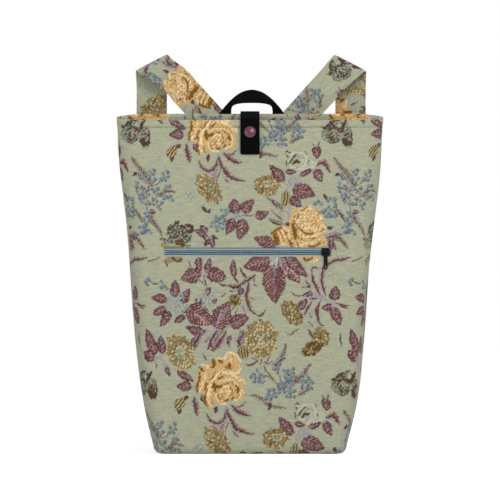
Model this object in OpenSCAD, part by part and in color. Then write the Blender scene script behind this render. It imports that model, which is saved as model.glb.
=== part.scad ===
// Tapestry backpack: a tote-shaped body with a boxed base, a webbing closure with a press snap,
// a zipped front pocket, a webbing carry handle and two shoulder straps.
// Millimetres. The origin is the centre of the base, +Z is up and the front faces -Y.

/* [Bag] */
// Width across the side seams at the mouth
top_w = 350; // [320:1:380]
// Width across the side seams at the base
base_w = 247; // [222:1:272]
// Height of the side seams
bag_h = 436; // [405:1:470]
// Depth of the boxed base, front to back
base_depth = 105; // [90:1:125]
// Depth of the mouth, front to back
mouth_depth = 30; // [26:1:44]
// Thickness of a tapestry panel with its interlining
panel_t = 2.4; // [1.8:0.1:3.2]
// How far the bag swells in width above its base
side_swell = 18; // [0:1:22]
// How far the bag swells in width below its mouth
brim_swell = 7; // [0:1:10]
// How slowly the depth shrinks above the base
belly = 1.5; // [1.2:0.05:1.8]
// Fold radius between the walls and the base
base_fold = 10; // [7:1:16]
// Drop of the front rim's middle below the side seams' tops
front_dip = 3.5; // [0:0.5:6]
// Rise of the back rim's middle above the side seams' tops
back_rise = 5.5; // [2:0.5:8]

/* [Hem and lining] */
// Height of the stitched hem at the mouth
hem_h = 10; // [7:1:11]
// How far the folded hem stands proud
hem_puff = 0.8; // [0:0.1:1.5]
// Depth of the tapestry facing inside the mouth
facing_h = 55; // [40:1:70]
// Thickness of the facing and the lining
lining_t = 0.8; // [0.5:0.1:1.2]

/* [Zip pocket] */
// Length of the zip window
zip_len = 216; // [180:1:220]
// Height of the zip window
zip_window_h = 12; // [11.2:0.2:15]
// Sideways place of the zip's middle
zip_x = -3; // [-6:1:6]
// Height of the zip above the base
zip_height = 262; // [240:1:290]
// Width of each zip tape
tape_w = 14; // [11:0.5:16]
// Thickness of a zip tape
tape_t = 0.6; // [0.4:0.1:0.9]
// Width of one row of coil
coil_w = 1.9; // [1.5:0.1:2.3]
// Thickness of the coil
coil_t = 1.9; // [1.5:0.1:2.1]
// Distance between two turns of the coil
coil_pitch = 2; // [1.6:0.1:3]
// How far the pocket's pouch hangs below the zip
pouch_drop = 140; // [100:1:165]

/* [Zip slider] */
// Length of the slider along the zip
slider_len = 11; // [9:0.5:13]
// Height of the slider across the zip
slider_h = 9.6; // [8.6:0.2:10.4]
// Length of the pull tab from its pin
pull_len = 23; // [16:1:30]
// Width of the pull tab
pull_w = 5; // [4:0.2:6]
// Thickness of the pull tab
pull_t = 1.2; // [0.8:0.1:1.6]
// Diameter of the pin that the pull turns on
pin_d = 1.4; // [1:0.1:1.6]

/* [Webbing closure and snap] */
// Width of the black webbing
webbing_w = 25; // [20:1:32]
// Thickness of the black webbing
webbing_t = 1.6; // [1.2:0.1:2]
// How far the closure reaches down the front
closure_drop = 47; // [36:1:52]
// Diameter of the snap's cap
cap_d = 15; // [12:0.5:17]
// Height of the cap's dome
cap_h = 2.6; // [1.8:0.1:3.6]
// Distance of the snap below the front rim
snap_drop = 17.5; // [16.5:0.5:22]

/* [Carry handle] */
// Width of the handle at the rim
handle_w = 86; // [78:1:92]
// Width of the hand gap at the rim
handle_gap_w = 54; // [46:1:58]
// Height of the handle above the back rim
handle_rise = 32; // [26:1:60]
// Height of the hand gap above the back rim
handle_gap_h = 14; // [10:0.2:30]
// Sideways place of the handle's middle
handle_x = 2.5; // [-4:0.5:4]

/* [Shoulder straps] */
// Width of a shoulder strap
strap_w = 40; // [32:1:46]
// Thickness of a shoulder strap
strap_t = 3.2; // [2:0.1:4]
// Thickness of a strap's sewn ends
strap_end_t = 1.3; // [1:0.1:1.8]
// Where the left strap leaves the rim, from the middle
left_rim_x = 61; // [58:1:76]
// Where the right strap leaves the rim, from the middle
right_rim_x = 71; // [58:1:76]
// How far inside its side seam's top the left strap falls behind the back
left_fall_in = 45.5; // [38:0.5:56]
// How far inside its side seam's top the right strap falls behind the back
right_fall_in = 42.5; // [38:0.5:56]
// How far inside the base's side seams the straps are sewn on
strap_foot_in = 34; // [30:1:44]
// Height of the straps' fold above the side seams
strap_rise = 72.5; // [56:0.5:110]
// Room for an arm between the back and a strap
strap_loop = 17; // [12:1:40]

/* [Hidden] */

$fn = 64;
tapestry = "#aeab8e";
lining_cloth = "#8f8b78";
black_webbing = "#17181a";
zip_grey = "#7d929c";
zip_black = "#151617";
plum = "#7c3e58";
steel = "#b9bcc0";

// Clearance between sewn layers, and the fit of the pull on its pin
layer_gap = 0.3;
pin_fit = 0.08;
// Corners of the plan outline: how far they reach in x, and how square they are
corner_base = 19;
corner_top = 44;
square_base = 3.2;
square_top = 2;
corner_steps = 8;
// The rim starts to step apart above this height
rim_start = 60;
back_y = base_depth / 2;
// Half height of the flat band that carries the zip, and of the one that carries the closure
zip_band = tape_w + 8;
closure_band = closure_drop + 6;

function lerp(a, b, t) = a + (b - a) * t;
function unit(v) = v / norm(v);
function share(h) = h / bag_h;
function low_swell(t) = side_swell * pow(sin(180 * sqrt(t)), 3);
function high_swell(t) = brim_swell * pow(sin(180 * pow(t, 4)), 2);
function swell_at(h) = low_swell(share(h)) + high_swell(share(h));
function width_at(h) = lerp(base_w, top_w, share(h)) + swell_at(h);
function depth_at(h) = lerp(base_depth, mouth_depth, pow(share(h), belly));
function corner_at(h) = lerp(corner_base, corner_top, share(h));
function square_at(h) = lerp(square_base, square_top, share(h));
function rim_rise(side) = side < 0 ? -front_dip : back_rise;
function rim_at(h, side) = rim_rise(side) * max(0, h - rim_start) / (bag_h - rim_start);
function seam_y(h) = back_y - depth_at(h) / 2;

// A smooth curve through a list of stations, with n steps in each span
function station(s, i) = s[max(0, min(len(s) - 1, i))];
function between(s, i, t) = let(
        a = station(s, i - 1), b = station(s, i), c = station(s, i + 1), d = station(s, i + 2))
    b + 0.5 * t * ((c - a) + t * ((2 * a - 5 * b + 4 * c - d) + t * (3 * (b - c) + d - a)));
function curve(s, n) = concat(
    [for (i = [0:len(s) - 2], k = [0:n - 1]) between(s, i, k / n)], [s[len(s) - 1]]);

// The wall: one point of a skin that lies e outside the panel's outer face.
// A level is [height, fold angle, extra]; the fold angle is 0 on the base and 90 on the walls.
// side is -1 on the front and 1 on the back; angle runs from the side seam, 0, to the flat, 90.
function skin_point(level, e, side, hand, angle) = let(
        h = level[0],
        reach = base_fold + e,
        inset = base_fold - reach * sin(level[1]),
        squareness = 2 / square_at(h),
        rise = pow(sin(angle), squareness),
        run = pow(cos(angle), squareness))
    [hand * (width_at(h) / 2 - corner_at(h) + (corner_at(h) - inset) * run),
     seam_y(h) + side * (depth_at(h) / 2 - inset) * rise,
     h - reach * cos(level[1]) + rim_at(h, side) * rise];

// Half a ring, from the left side seam over the front or the back to the right side seam
function half_ring(level, e, side) = concat(
    [for (i = [0:corner_steps]) skin_point(level, e, side, -1, 90 * i / corner_steps)],
    [for (i = [corner_steps:-1:0]) skin_point(level, e, side, 1, 90 * i / corner_steps)]);
ring_n = 2 * (corner_steps + 1);

// A whole ring, with its own offsets on the front and the back
function whole_ring(level, e_front, e_back) = let(back = half_ring(level, e_back, 1)) concat(
    half_ring(level, e_front, -1), [for (i = [ring_n - 2:-1:1]) back[i]]);

function flat_list(lists) = [for (l = lists, v = l) v];
function quad(a, b, c, d) = [[a, b, c], [a, c, d]];
function flipped(faces, yes) = yes ? [for (f = faces) [for (i = [len(f) - 1:-1:0]) f[i]]] : faces;

// Levels of the wall, from the base to the rim
fold_levels = [for (a = [0:22.5:67.5]) [base_fold, a, 0]];
zip_low = zip_height - zip_band;
zip_high = zip_height + zip_band;
closure_low = bag_h - closure_band;
hem_low = bag_h - hem_h;
function rising(from, to, n) = [for (k = [0:n - 1]) [lerp(from, to, k / n), 90, 0]];
body_levels = concat(
    fold_levels,
    rising(base_fold, zip_low, 6),
    [[zip_low, 90, 0], [zip_high, 90, 0]],
    [[lerp(zip_high, closure_low, 0.5), 90, 0]],
    [[closure_low, 90, 0], [hem_low, 90, 0]]);
hem_levels = [
    [lerp(hem_low, bag_h, 0.1), 90, hem_puff * 0.7],
    [lerp(hem_low, bag_h, 0.35), 90, hem_puff],
    [lerp(hem_low, bag_h, 0.75), 90, hem_puff * 0.8],
    [lerp(hem_low, bag_h, 0.93), 90, 0],
    [bag_h, 90, -panel_t * 0.3]];

// Half of the outer bag: the panel with its half of the base, ending at the seams
module half_shell(side) {
    levels = concat(body_levels, hem_levels);
    m = len(levels);
    n = ring_n;
    outer = [for (l = levels) each half_ring(l, l[2], side)];
    inner = [for (l = levels) each half_ring(l, -panel_t - min(0, l[2]), side)];
    inside = m * n;
    walls = [for (l = [0:m - 2], i = [0:n - 2]) let(a = l * n + i) each concat(
        quad(a, a + n, a + n + 1, a + 1),
        quad(inside + a, inside + a + 1, inside + a + n + 1, inside + a + n))];
    rim = [for (i = [0:n - 2]) let(a = (m - 1) * n + i)
        each quad(a, inside + a, inside + a + 1, a + 1)];
    seams = [for (l = [0:m - 2]) let(a = l * n, z = l * n + n - 1) each concat(
        quad(a, inside + a, inside + a + n, a + n),
        quad(inside + z, z, z + n, inside + z + n))];
    base = [
        [for (i = [0:n - 1]) i],
        [for (i = [n - 1:-1:0]) inside + i],
        [0, n - 1, inside + n - 1, inside]];
    polyhedron(concat(outer, inner), flipped(concat(walls, rim, seams, base), side > 0));
}

// A sewn tube or bag between two skins; each row is a level with the offsets of its outer skin
module inner_bag(rows, t, closed) {
    m = len(rows);
    n = 2 * ring_n - 2;
    outer = [for (r = rows) each whole_ring(r[0], r[1], r[2])];
    inner = [for (r = rows) each whole_ring(r[0], r[1] - t, r[2] - t)];
    inside = m * n;
    function at(l, i) = l * n + i % n;
    walls = [for (l = [0:m - 2], i = [0:n - 1]) each concat(
        quad(at(l, i), at(l + 1, i), at(l + 1, i + 1), at(l, i + 1)),
        quad(inside + at(l, i), inside + at(l, i + 1), inside + at(l + 1, i + 1), inside + at(l + 1, i)))];
    rim = [for (i = [0:n - 1])
        each quad(at(m - 1, i), inside + at(m - 1, i), inside + at(m - 1, i + 1), at(m - 1, i + 1))];
    foot = closed
        ? [[for (i = [0:n - 1]) i], [for (i = [n - 1:-1:0]) inside + i]]
        : [for (i = [0:n - 1]) each quad(at(0, i), at(0, i + 1), inside + at(0, i + 1), inside + at(0, i))];
    polyhedron(concat(outer, inner), concat(walls, rim, foot));
}

// The front's flat face: [y, z] at a height, and a frame on the flat band between two heights
function front_point(h) = [back_y - depth_at(h), h + rim_at(h, -1)];
function band_tilt(low, high) = let(d = front_point(high) - front_point(low)) atan2(d[0], d[1]);
zip_tilt = band_tilt(zip_low, zip_high);
zip_mid = (front_point(zip_low) + front_point(zip_high)) / 2;
closure_tilt = band_tilt(closure_low, hem_low);
closure_up = [sin(closure_tilt), cos(closure_tilt)];
closure_out = [-cos(closure_tilt), sin(closure_tilt)];
front_rim = front_point(hem_low) + hem_h * closure_up;
// [y, z] of a point that lies a drop below the front rim and off the front's face
function on_closure(drop, off) = front_rim - drop * closure_up + off * closure_out;

module zip_frame() {
    translate([zip_x, zip_mid[0], zip_mid[1]]) rotate([-zip_tilt, 0, 0]) children();
}
module snap_frame() {
    p = on_closure(snap_drop, 0);
    translate([0, p[0], p[1]]) rotate([90 - closure_tilt, 0, 0]) children();
}

// Depths of the zip's layers behind the front's outer face, along the face's normal
panel_depth = panel_t * cos(zip_tilt);
tape_y = panel_depth + layer_gap;
coil_y = tape_y - coil_t;
pouch_front = panel_t + layer_gap + tape_t + 0.2;
pouch_back = pouch_front + 2.1;
pouch_wall = 0.5;
pouch_mouth = 9.5;

// Layers in the back rim's seam, from the outer panel inwards: the straps, then the webbing
strap_seam_y = back_y - panel_t - layer_gap - strap_end_t / 2;
webbing_seam_y = strap_seam_y - strap_end_t / 2 - layer_gap - webbing_t / 2;
facing_back = panel_t + 3 * layer_gap + strap_end_t + webbing_t;
back_rim_z = bag_h + back_rise;
strap_foot_x = base_w / 2 - strap_foot_in;
seam_tuck = 12;

module front_panel() {
    color(tapestry) difference() {
        half_shell(-1);
        zip_frame() cube([zip_len, 6 * panel_t, zip_window_h], center = true);
        snap_frame() cylinder(d = rivet_d + 2 * rivet_play, h = 6 * panel_t, center = true);
    }
}

module back_panel() {
    color(tapestry) half_shell(1);
}

module mouth_facing() {
    front = -panel_t - layer_gap;
    foot = bag_h - facing_h;
    color(tapestry) difference() {
        inner_bag([for (h = [foot, closure_low, hem_low, bag_h - 1.5])
            [[h, 90, 0], front, -facing_back]], lining_t, false);
        snap_frame() cylinder(d = rivet_d + 2 * rivet_play, h = 10 * panel_t, center = true);
    }
}

// The lining stands off the front where the pouch hangs
function lining_front(h) = h > zip_low - pouch_drop && h < zip_high + 4
    ? -pouch_back - layer_gap : -panel_t - layer_gap;
module lining() {
    side = -panel_t - layer_gap;
    upper = [zip_low, zip_high, lerp(zip_high, closure_low, 0.5), bag_h - facing_h - layer_gap];
    levels = concat(fold_levels, rising(base_fold, zip_low, 6), [for (h = upper) [h, 90, 0]]);
    color(lining_cloth) inner_bag([for (l = levels)
        [l, lining_front(l[0]), l[0] > zip_high ? -facing_back : side]], lining_t, true);
}

module zip_tape(hand) {
    low = coil_slit / 2;
    color(zip_grey) zip_frame() translate([0, tape_y + tape_t / 2, hand * (low + tape_w) / 2])
        cube([zip_len + 2 * tape_end, tape_t, tape_w - low], center = true);
}

// The slit lets the slider's post pass between the two rows
coil_slit = 1.2;
tape_end = 10;
coil_len = zip_len - 0.6;
module zip_coil(hand) {
    inner = coil_slit / 2;
    spine = inner + coil_w * 0.42;
    outer = inner + coil_w;
    turns = floor(coil_len / coil_pitch);
    first = -turns * coil_pitch / 2;
    tooth = coil_pitch * 0.6;
    shift = hand > 0 ? 0 : coil_pitch * 0.2;
    outline = concat(
        [[coil_len / 2, outer], [-coil_len / 2, outer], [-coil_len / 2, spine]],
        [for (k = [0:turns - 1]) let(x = first + k * coil_pitch + shift)
            each [[x, spine], [x, inner], [x + tooth, inner], [x + tooth, spine]]],
        [[coil_len / 2, spine]]);
    color(zip_grey) zip_frame() translate([0, tape_y, 0]) rotate([90, 0, 0])
        mirror([0, hand > 0 ? 0 : 1, 0]) linear_extrude(coil_t) polygon(outline);
}

// The pouch follows the front's curve behind the zip
module pouch_profile(front, back, low, high) {
    steps = 8;
    heights = [for (k = [0:steps]) lerp(low, high, k / steps)];
    polygon(concat(
        [for (h = heights) front_point(h) + [front, 0]],
        [for (k = [steps:-1:0]) front_point(heights[k]) + [back, 0]]));
}
module along_x(length) {
    rotate([90, 0, 90]) linear_extrude(length, center = true) children();
}
module pocket_pouch() {
    width = zip_len + 2 * tape_end;
    low = zip_height - pouch_drop;
    high = zip_height + tape_w;
    color(lining_cloth) translate([zip_x, 0, 0]) difference() {
        along_x(width) pouch_profile(pouch_front, pouch_back, low, high);
        along_x(width - 2 * pouch_wall) pouch_profile(
            pouch_front + pouch_wall, pouch_back - pouch_wall, low + pouch_wall, high - pouch_wall);
        along_x(width - 2 * pouch_wall) pouch_profile(
            pouch_front - pouch_wall, pouch_back - pouch_wall,
            zip_height - pouch_mouth, zip_height + pouch_mouth);
    }
}

// Slider: two plates joined by a post, side flanges round the coil, and a crown for the pull
slider_plate = 1.2;
slider_x = zip_len / 2 - slider_len / 2 - 1.5;
coil_half = coil_slit / 2 + coil_w;
crown_y = coil_y - layer_gap - slider_plate;
knuckle_d = pin_d + 1.6;
pin_y = crown_y - knuckle_d / 2 - layer_gap;
pull_lean = 4;
knuckle_w = pull_w * 0.8;
module rounded_plate(length, height, t) {
    corner = height * 0.22;
    rotate([90, 0, 0]) linear_extrude(t, center = true) hull()
        for (sx = [-1, 1], sz = [-1, 1])
            translate([sx * (length / 2 - corner), sz * (height / 2 - corner)]) circle(corner, $fn = 24);
}
module zip_slider() {
    back_y0 = tape_y + tape_t + layer_gap;
    flange_z = coil_half + layer_gap;
    flange_h = slider_h / 2 - flange_z - 0.4;
    flange_t = tape_y - layer_gap - (crown_y + slider_plate) + 0.4;
    post_w = coil_slit - 2 * layer_gap;
    ear = 1.3;
    color(zip_black) zip_frame() translate([slider_x, 0, 0]) {
        translate([0, crown_y + slider_plate / 2, 0])
            rounded_plate(slider_len, slider_h, slider_plate);
        for (s = [-1, 1])
            translate([0, crown_y + slider_plate - 0.4 + flange_t / 2, s * (flange_z + flange_h / 2)])
                cube([slider_len * 0.8, flange_t, flange_h], center = true);
        translate([0, back_y0 + slider_plate / 2, 0])
            rounded_plate(slider_len, slider_h * 0.88, slider_plate);
        translate([slider_len * 0.2, (crown_y + back_y0) / 2 + slider_plate / 2, 0])
            cube([slider_len * 0.4, back_y0 - crown_y, post_w], center = true);
        for (s = [-1, 1]) translate([s * (knuckle_w / 2 + layer_gap + ear / 2), 0, 0]) {
            translate([0, (pin_y + crown_y) / 2, 0])
                cube([ear, crown_y - pin_y + 0.2, knuckle_d], center = true);
            translate([0, pin_y, 0]) rotate([0, 90, 0]) cylinder(d = knuckle_d, h = ear, center = true);
        }
        translate([0, pin_y, 0]) rotate([0, 90, 0])
            cylinder(d = pin_d, h = knuckle_w + 2 * layer_gap + ear, center = true);
    }
}

module zip_pull() {
    end_r = pull_w / 2;
    slot_w = pull_w * 0.4;
    slot_len = pull_len * 0.22;
    color(zip_black) zip_frame() translate([slider_x, pin_y, 0]) rotate([pull_lean, 0, 0]) difference() {
        union() {
            rotate([0, 90, 0]) cylinder(d = knuckle_d, h = knuckle_w, center = true);
            rotate([90, 0, 0]) linear_extrude(pull_t, center = true) difference() {
                union() {
                    translate([-knuckle_w / 2, -knuckle_d]) square([knuckle_w, knuckle_d]);
                    translate([-pull_w / 2, -pull_len + end_r])
                        square([pull_w, pull_len - end_r - knuckle_d]);
                    translate([0, -pull_len + end_r]) circle(end_r);
                }
                for (k = [0, 1]) translate([0, -pull_len + end_r + k * slot_len]) circle(slot_w / 2);
                translate([-slot_w / 2, -pull_len + end_r]) square([slot_w, slot_len]);
            }
        }
        rotate([0, 90, 0]) cylinder(d = pin_d + 2 * pin_fit, h = pull_w * 3, center = true);
    }
}

// A strip of even thickness along a [y, z] line
function line_normal(s, i) = let(d = station(s, i + 1) - station(s, i - 1)) unit([-d[1], d[0]]);
function strip_outline(s, t) = concat(
    [for (i = [0:len(s) - 1]) s[i] + line_normal(s, i) * t / 2],
    [for (i = [len(s) - 1:-1:0]) s[i] - line_normal(s, i) * t / 2]);

// Snap: the stack stands on the front panel; the strap lies on the socket
rivet_d = 2.8;
rivet_play = 0.1;
stud_flange_d = 10;
stud_flange_t = 0.8;
stud_d = 4.4;
stud_top = 2.95;
socket_d = 11;
socket_low = stud_flange_t + layer_gap;
socket_top = 3.6;
socket_web = 0.45;
strap_in = socket_top + 0.05;
strap_out = strap_in + webbing_t;
snap_inside = (panel_t + layer_gap + lining_t) * cos(closure_tilt);

closure_line = concat(
    [[webbing_seam_y, back_rim_z - seam_tuck], [webbing_seam_y, back_rim_z - 2]],
    [[webbing_seam_y - 0.2, back_rim_z + 0.8], [webbing_seam_y - 3.4, back_rim_z + 2.6]],
    [lerp([webbing_seam_y - 3.4, back_rim_z + 2.6], on_closure(-3.4, 0), 0.5) + [0, 0.4]],
    [on_closure(-3.4, 0.2), on_closure(-1.6, 2.6)],
    [for (d = [-0.9, -0.6, 0, 0.6, 0.96]) on_closure(snap_drop + d * cap_d, strap_in + webbing_t / 2)],
    [on_closure(closure_drop, layer_gap + 1 + webbing_t / 2)]);
module closure_strap() {
    color(black_webbing) difference() {
        along_x(webbing_w) polygon(strip_outline(curve(closure_line, 4), webbing_t));
        snap_frame() translate([0, 0, strap_in - 1])
            cylinder(d = rivet_d + 2 * rivet_play, h = webbing_t + 2);
    }
}

module snap_cap() {
    edge = 0.7;
    dome_r = (pow(cap_d / 2, 2) + pow(cap_h - edge, 2)) / (2 * (cap_h - edge));
    seat = strap_out + 0.05;
    color(plum) snap_frame() {
        translate([0, 0, seat]) intersection() {
            cylinder(d = cap_d, h = cap_h);
            translate([0, 0, cap_h - dome_r]) sphere(dome_r, $fn = 96);
        }
        translate([0, 0, stud_top + rivet_play])
            cylinder(d = rivet_d, h = seat - stud_top - rivet_play + edge);
    }
}

module snap_socket() {
    color(steel) snap_frame() difference() {
        translate([0, 0, socket_low]) cylinder(d = socket_d, h = socket_top - socket_low);
        translate([0, 0, socket_low - 1])
            cylinder(d = stud_d + 0.4, h = socket_top - socket_web - socket_low + 1);
        translate([0, 0, socket_low]) cylinder(d = rivet_d + 2 * rivet_play, h = socket_top);
    }
}

module snap_stud() {
    bore = rivet_d / 2 + rivet_play;
    color(steel) snap_frame() translate([0, 0, 0.05]) rotate_extrude() polygon([
        [bore, 0], [stud_flange_d / 2, 0], [stud_flange_d / 2, stud_flange_t],
        [stud_d / 2 - 0.3, stud_flange_t], [stud_d / 2, stud_top - 0.8],
        [stud_d / 2 - 0.3, stud_top - 0.05], [bore, stud_top - 0.05]]);
}

module snap_post() {
    flange_t = 0.7;
    low = -snap_inside - layer_gap / 2;
    color(steel) snap_frame() {
        translate([0, 0, low - flange_t]) cylinder(d = stud_flange_d, h = flange_t);
        translate([0, 0, low - flange_t / 2])
            cylinder(d = rivet_d, h = stud_top - 0.3 - low + flange_t / 2);
    }
}

// A strap: each station is [x, y, z, half-width x, y, z, thickness]
function part_of(s, a) = [s[a], s[a + 1], s[a + 2]];
function strap_corners(stations, i) = let(
        s = stations[i],
        middle = part_of(s, 0),
        half = part_of(s, 3),
        along = part_of(station(stations, i + 1), 0) - part_of(station(stations, i - 1), 0),
        face = unit(cross(along, half)) * s[6] / 2)
    [middle - half - face, middle + half - face, middle + half + face, middle - half + face];
module strap(stations, n) {
    rows = curve(stations, n);
    m = len(rows);
    sides = [for (l = [0:m - 2], i = [0:3]) let(a = 4 * l + i, b = 4 * l + (i + 1) % 4)
        each quad(a, b, b + 4, a + 4)];
    ends = [[3, 2, 1, 0], [for (i = [0:3]) 4 * (m - 1) + i]];
    polyhedron([for (i = [0:m - 1]) each strap_corners(rows, i)], flipped(concat(sides, ends), true));
}

// Handle: the webbing's outer and inner edges as shares of the half width, the rise and the lean
handle_lean = handle_rise / 3;
handle_outer = [
    [1.2, -0.4, 0], [1.01, -0.03, 0], [0.84, 0.28, 0],
    [0.6, 0.62, 0.5], [0.32, 0.89, 0.9], [0, 1, 1]];
handle_inner = [
    [1, -0.9, 0], [1, -0.07, 0], [0.99, 0.42, -0.1],
    [0.9, 0.78, -0.4], [0.55, 0.96, -0.7], [0, 1, -0.8]];
function handle_edge(row, half, rise, hand) =
    [handle_x + hand * half * row[0], webbing_seam_y + handle_lean * row[2], back_rim_z + rise * row[1]];
function handle_station(i, hand) = let(
        a = handle_edge(handle_outer[i], handle_w / 2, handle_rise, hand),
        b = handle_edge(handle_inner[i], handle_gap_w / 2, handle_gap_h, hand))
    concat((a + b) / 2, (a - b) / 2, [webbing_t]);
module carry_handle() {
    last = len(handle_outer) - 1;
    color(black_webbing) strap(concat(
        [for (i = [0:last]) handle_station(i, -1)],
        [for (i = [last - 1:-1:0]) handle_station(i, 1)]), 3);
}

// Shoulder strap: up the back, over its fold, and down to the back rim's seam
fold_slope = 27.5;
rim_slope = 42;
module shoulder_strap(hand, rim_x, fall_x, twist) {
    w = strap_w / 2;
    fold_z = bag_h + strap_rise;
    loop_y = back_y + strap_loop + strap_t / 2;
    foot_y = back_y + layer_gap + strap_end_t / 2;
    fold_half = w * 1.16 * [cos(fold_slope), 0, -sin(fold_slope)];
    slant_half = w * [cos(rim_slope), 0, -sin(rim_slope)];
    twisted = [slant_half[0], twist, slant_half[2]];
    // How far up the front stretch, from the rim, each of its stations lies
    climb = fold_z - back_rim_z;
    function slanted(up) = [rim_x + (up * climb - 3) * tan(rim_slope), back_rim_z + up * climb];
    function outwards(t) = lerp(strap_foot_x, fall_x, t);
    top = slanted(0.66);
    middle = slanted(0.44);
    rim = slanted(0.22);
    tuck = slanted(-0.3);
    stations = [
        [strap_foot_x, foot_y, 26, w, 0, 0, strap_end_t],
        [strap_foot_x + 1, foot_y, 50, w, 0, 0, strap_end_t],
        [strap_foot_x + 6, back_y + strap_loop * 0.3 + strap_t / 2, 84, w, 0, 0, strap_t],
        [outwards(0.6), back_y + strap_loop * 0.8 + strap_t / 2, 0.38 * bag_h, w, 0, 0, strap_t],
        [outwards(0.9), loop_y, 0.62 * bag_h, w, 0, 0, strap_t],
        [fall_x, loop_y, 0.87 * bag_h, w, 0, 0, strap_t],
        [fall_x, loop_y, fold_z - 0.72 * strap_rise, w, 0, 0, strap_t],
        concat([fall_x, loop_y - 0.03 * strap_loop, fold_z - 0.34 * strap_rise],
            [w, 0, -w * 0.3], [strap_t]),
        concat([fall_x, loop_y - 0.15 * strap_loop, fold_z - 0.1 * strap_rise],
            fold_half, [strap_t]),
        concat([fall_x - 0.03 * w, back_y + strap_loop * 0.6, fold_z], fold_half, [strap_t]),
        concat([fall_x - 0.35 * w, back_y + strap_loop * 0.25, fold_z - 0.07 * strap_rise],
            fold_half * 0.97, [strap_t]),
        concat([top[0], back_y + 2, top[1]], twisted, [strap_t]),
        concat([middle[0], strap_seam_y + 1, middle[1]], (twisted + slant_half) / 2, [strap_t * 0.8]),
        concat([rim[0], strap_seam_y, rim[1]], slant_half, [strap_end_t]),
        concat([tuck[0], strap_seam_y, tuck[1]], slant_half, [strap_end_t])];
    color(tapestry) mirror([hand > 0 ? 0 : 1, 0, 0]) strap(stations, 4);
}

front_panel();
back_panel();
mouth_facing();
lining();
zip_tape(1);  // zip_tape_upper
zip_tape(-1);  // zip_tape_lower
zip_coil(1);  // zip_coil_upper
zip_coil(-1);  // zip_coil_lower
pocket_pouch();
zip_slider();
zip_pull();
closure_strap();
snap_cap();
snap_socket();
snap_stud();
snap_post();
carry_handle();
shoulder_strap(-1, left_rim_x, top_w / 2 - left_fall_in, strap_w * 0.1);  // shoulder_strap_left
shoulder_strap(1, right_rim_x, top_w / 2 - right_fall_in, 0);  // shoulder_strap_right
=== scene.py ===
import math
import bmesh
import bpy
import numpy as np
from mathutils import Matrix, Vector


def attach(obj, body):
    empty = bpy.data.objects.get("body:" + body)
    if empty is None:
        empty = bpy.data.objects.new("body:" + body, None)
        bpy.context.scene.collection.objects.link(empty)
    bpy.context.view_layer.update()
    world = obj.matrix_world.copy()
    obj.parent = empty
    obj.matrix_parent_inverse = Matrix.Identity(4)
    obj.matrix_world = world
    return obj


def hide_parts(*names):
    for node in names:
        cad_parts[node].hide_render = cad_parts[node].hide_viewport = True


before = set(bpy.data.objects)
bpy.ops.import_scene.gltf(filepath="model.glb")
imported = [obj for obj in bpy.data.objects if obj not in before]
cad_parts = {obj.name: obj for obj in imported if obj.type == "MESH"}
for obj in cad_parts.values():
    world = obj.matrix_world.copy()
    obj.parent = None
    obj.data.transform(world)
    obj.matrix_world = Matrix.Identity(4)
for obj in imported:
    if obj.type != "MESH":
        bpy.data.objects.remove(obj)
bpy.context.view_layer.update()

mm = 0.001  # pieces are worked out in millimetres and placed in metres


def lerp(a, b, t):
    return a + (b - a) * t


def runAlong(points):
    # how far along a line each of its points lies
    return np.concatenate([[0], np.cumsum(np.linalg.norm(np.diff(points, axis=0), axis=1))])


def together(*values):
    # values of matching shapes, as the coordinates of points
    return np.stack(np.broadcast_arrays(*values), axis=-1)


def linear(red, green, blue):
    # a measured colour, 0 to 255, as the linear colour that a shader takes
    steps = [value / 255 for value in (red, green, blue)]
    return tuple(c / 12.92 if c <= 0.04045 else ((c + 0.055) / 1.055) ** 2.4 for c in steps) + (1.0,)


def deselectAll():
    for item in bpy.context.selected_objects:
        item.select_set(False)


def pickOnly(piece):
    deselectAll()
    piece.select_set(True)
    bpy.context.view_layer.objects.active = piece


def gridPiece(name, points):
    # a flat grid gets one vertex for each point, and each vertex is then moved to its point
    rows, cols = points.shape[:2]
    deselectAll()
    bpy.ops.mesh.primitive_grid_add(x_subdivisions=cols - 1, y_subdivisions=rows - 1, size=1)
    piece = bpy.context.object
    piece.name = name
    piece.data.name = name
    mesh = piece.data
    flat = np.empty(len(mesh.vertices) * 3)
    mesh.vertices.foreach_get("co", flat)
    flat = flat.reshape(-1, 3)
    col = np.rint((flat[:, 0] + 0.5) * (cols - 1)).astype(int)
    row = np.rint((flat[:, 1] + 0.5) * (rows - 1)).astype(int)
    mesh.vertices.foreach_set("co", (points[row, col] * mm).ravel())
    mesh.update()
    return piece, row, col


def setCloth(piece, row, col, chart, printed=True):
    # the cloth's own coordinates, in metres of cloth, and the threads that the chart brings up there
    mesh = piece.data
    loops = np.empty(len(mesh.loops), dtype=int)
    mesh.loops.foreach_get("vertex_index", loops)
    layer = mesh.uv_layers[0]
    layer.name = "cloth"
    spots = chart[row, col]
    layer.data.foreach_set("uv", (spots[loops] * chartSquare * mm).ravel())
    if not printed:
        return
    marks = drawChart(spots[:, 0], spots[:, 1])
    for number, names in enumerate(threadSets):
        store = mesh.attributes.new("threads%d" % number, "FLOAT_COLOR", "POINT")
        store.data.foreach_set("color", np.stack([marks[thread] for thread in names], axis=1).ravel())


def editAll(piece, operator, **settings):
    # one edit-mode operator on the whole mesh
    pickOnly(piece)
    bpy.ops.object.mode_set(mode="EDIT")
    bpy.ops.mesh.select_all(action="SELECT")
    operator(**settings)
    bpy.ops.object.mode_set(mode="OBJECT")


def mergeDoubles(piece, reach=1e-6):
    editAll(piece, bpy.ops.mesh.remove_doubles, threshold=reach)


def faceOut(piece, inside=False):
    editAll(piece, bpy.ops.mesh.normals_make_consistent, inside=inside)


def smooth(piece, angle=40):
    pickOnly(piece)
    bpy.ops.object.shade_smooth_by_angle(angle=math.radians(angle))


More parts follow.
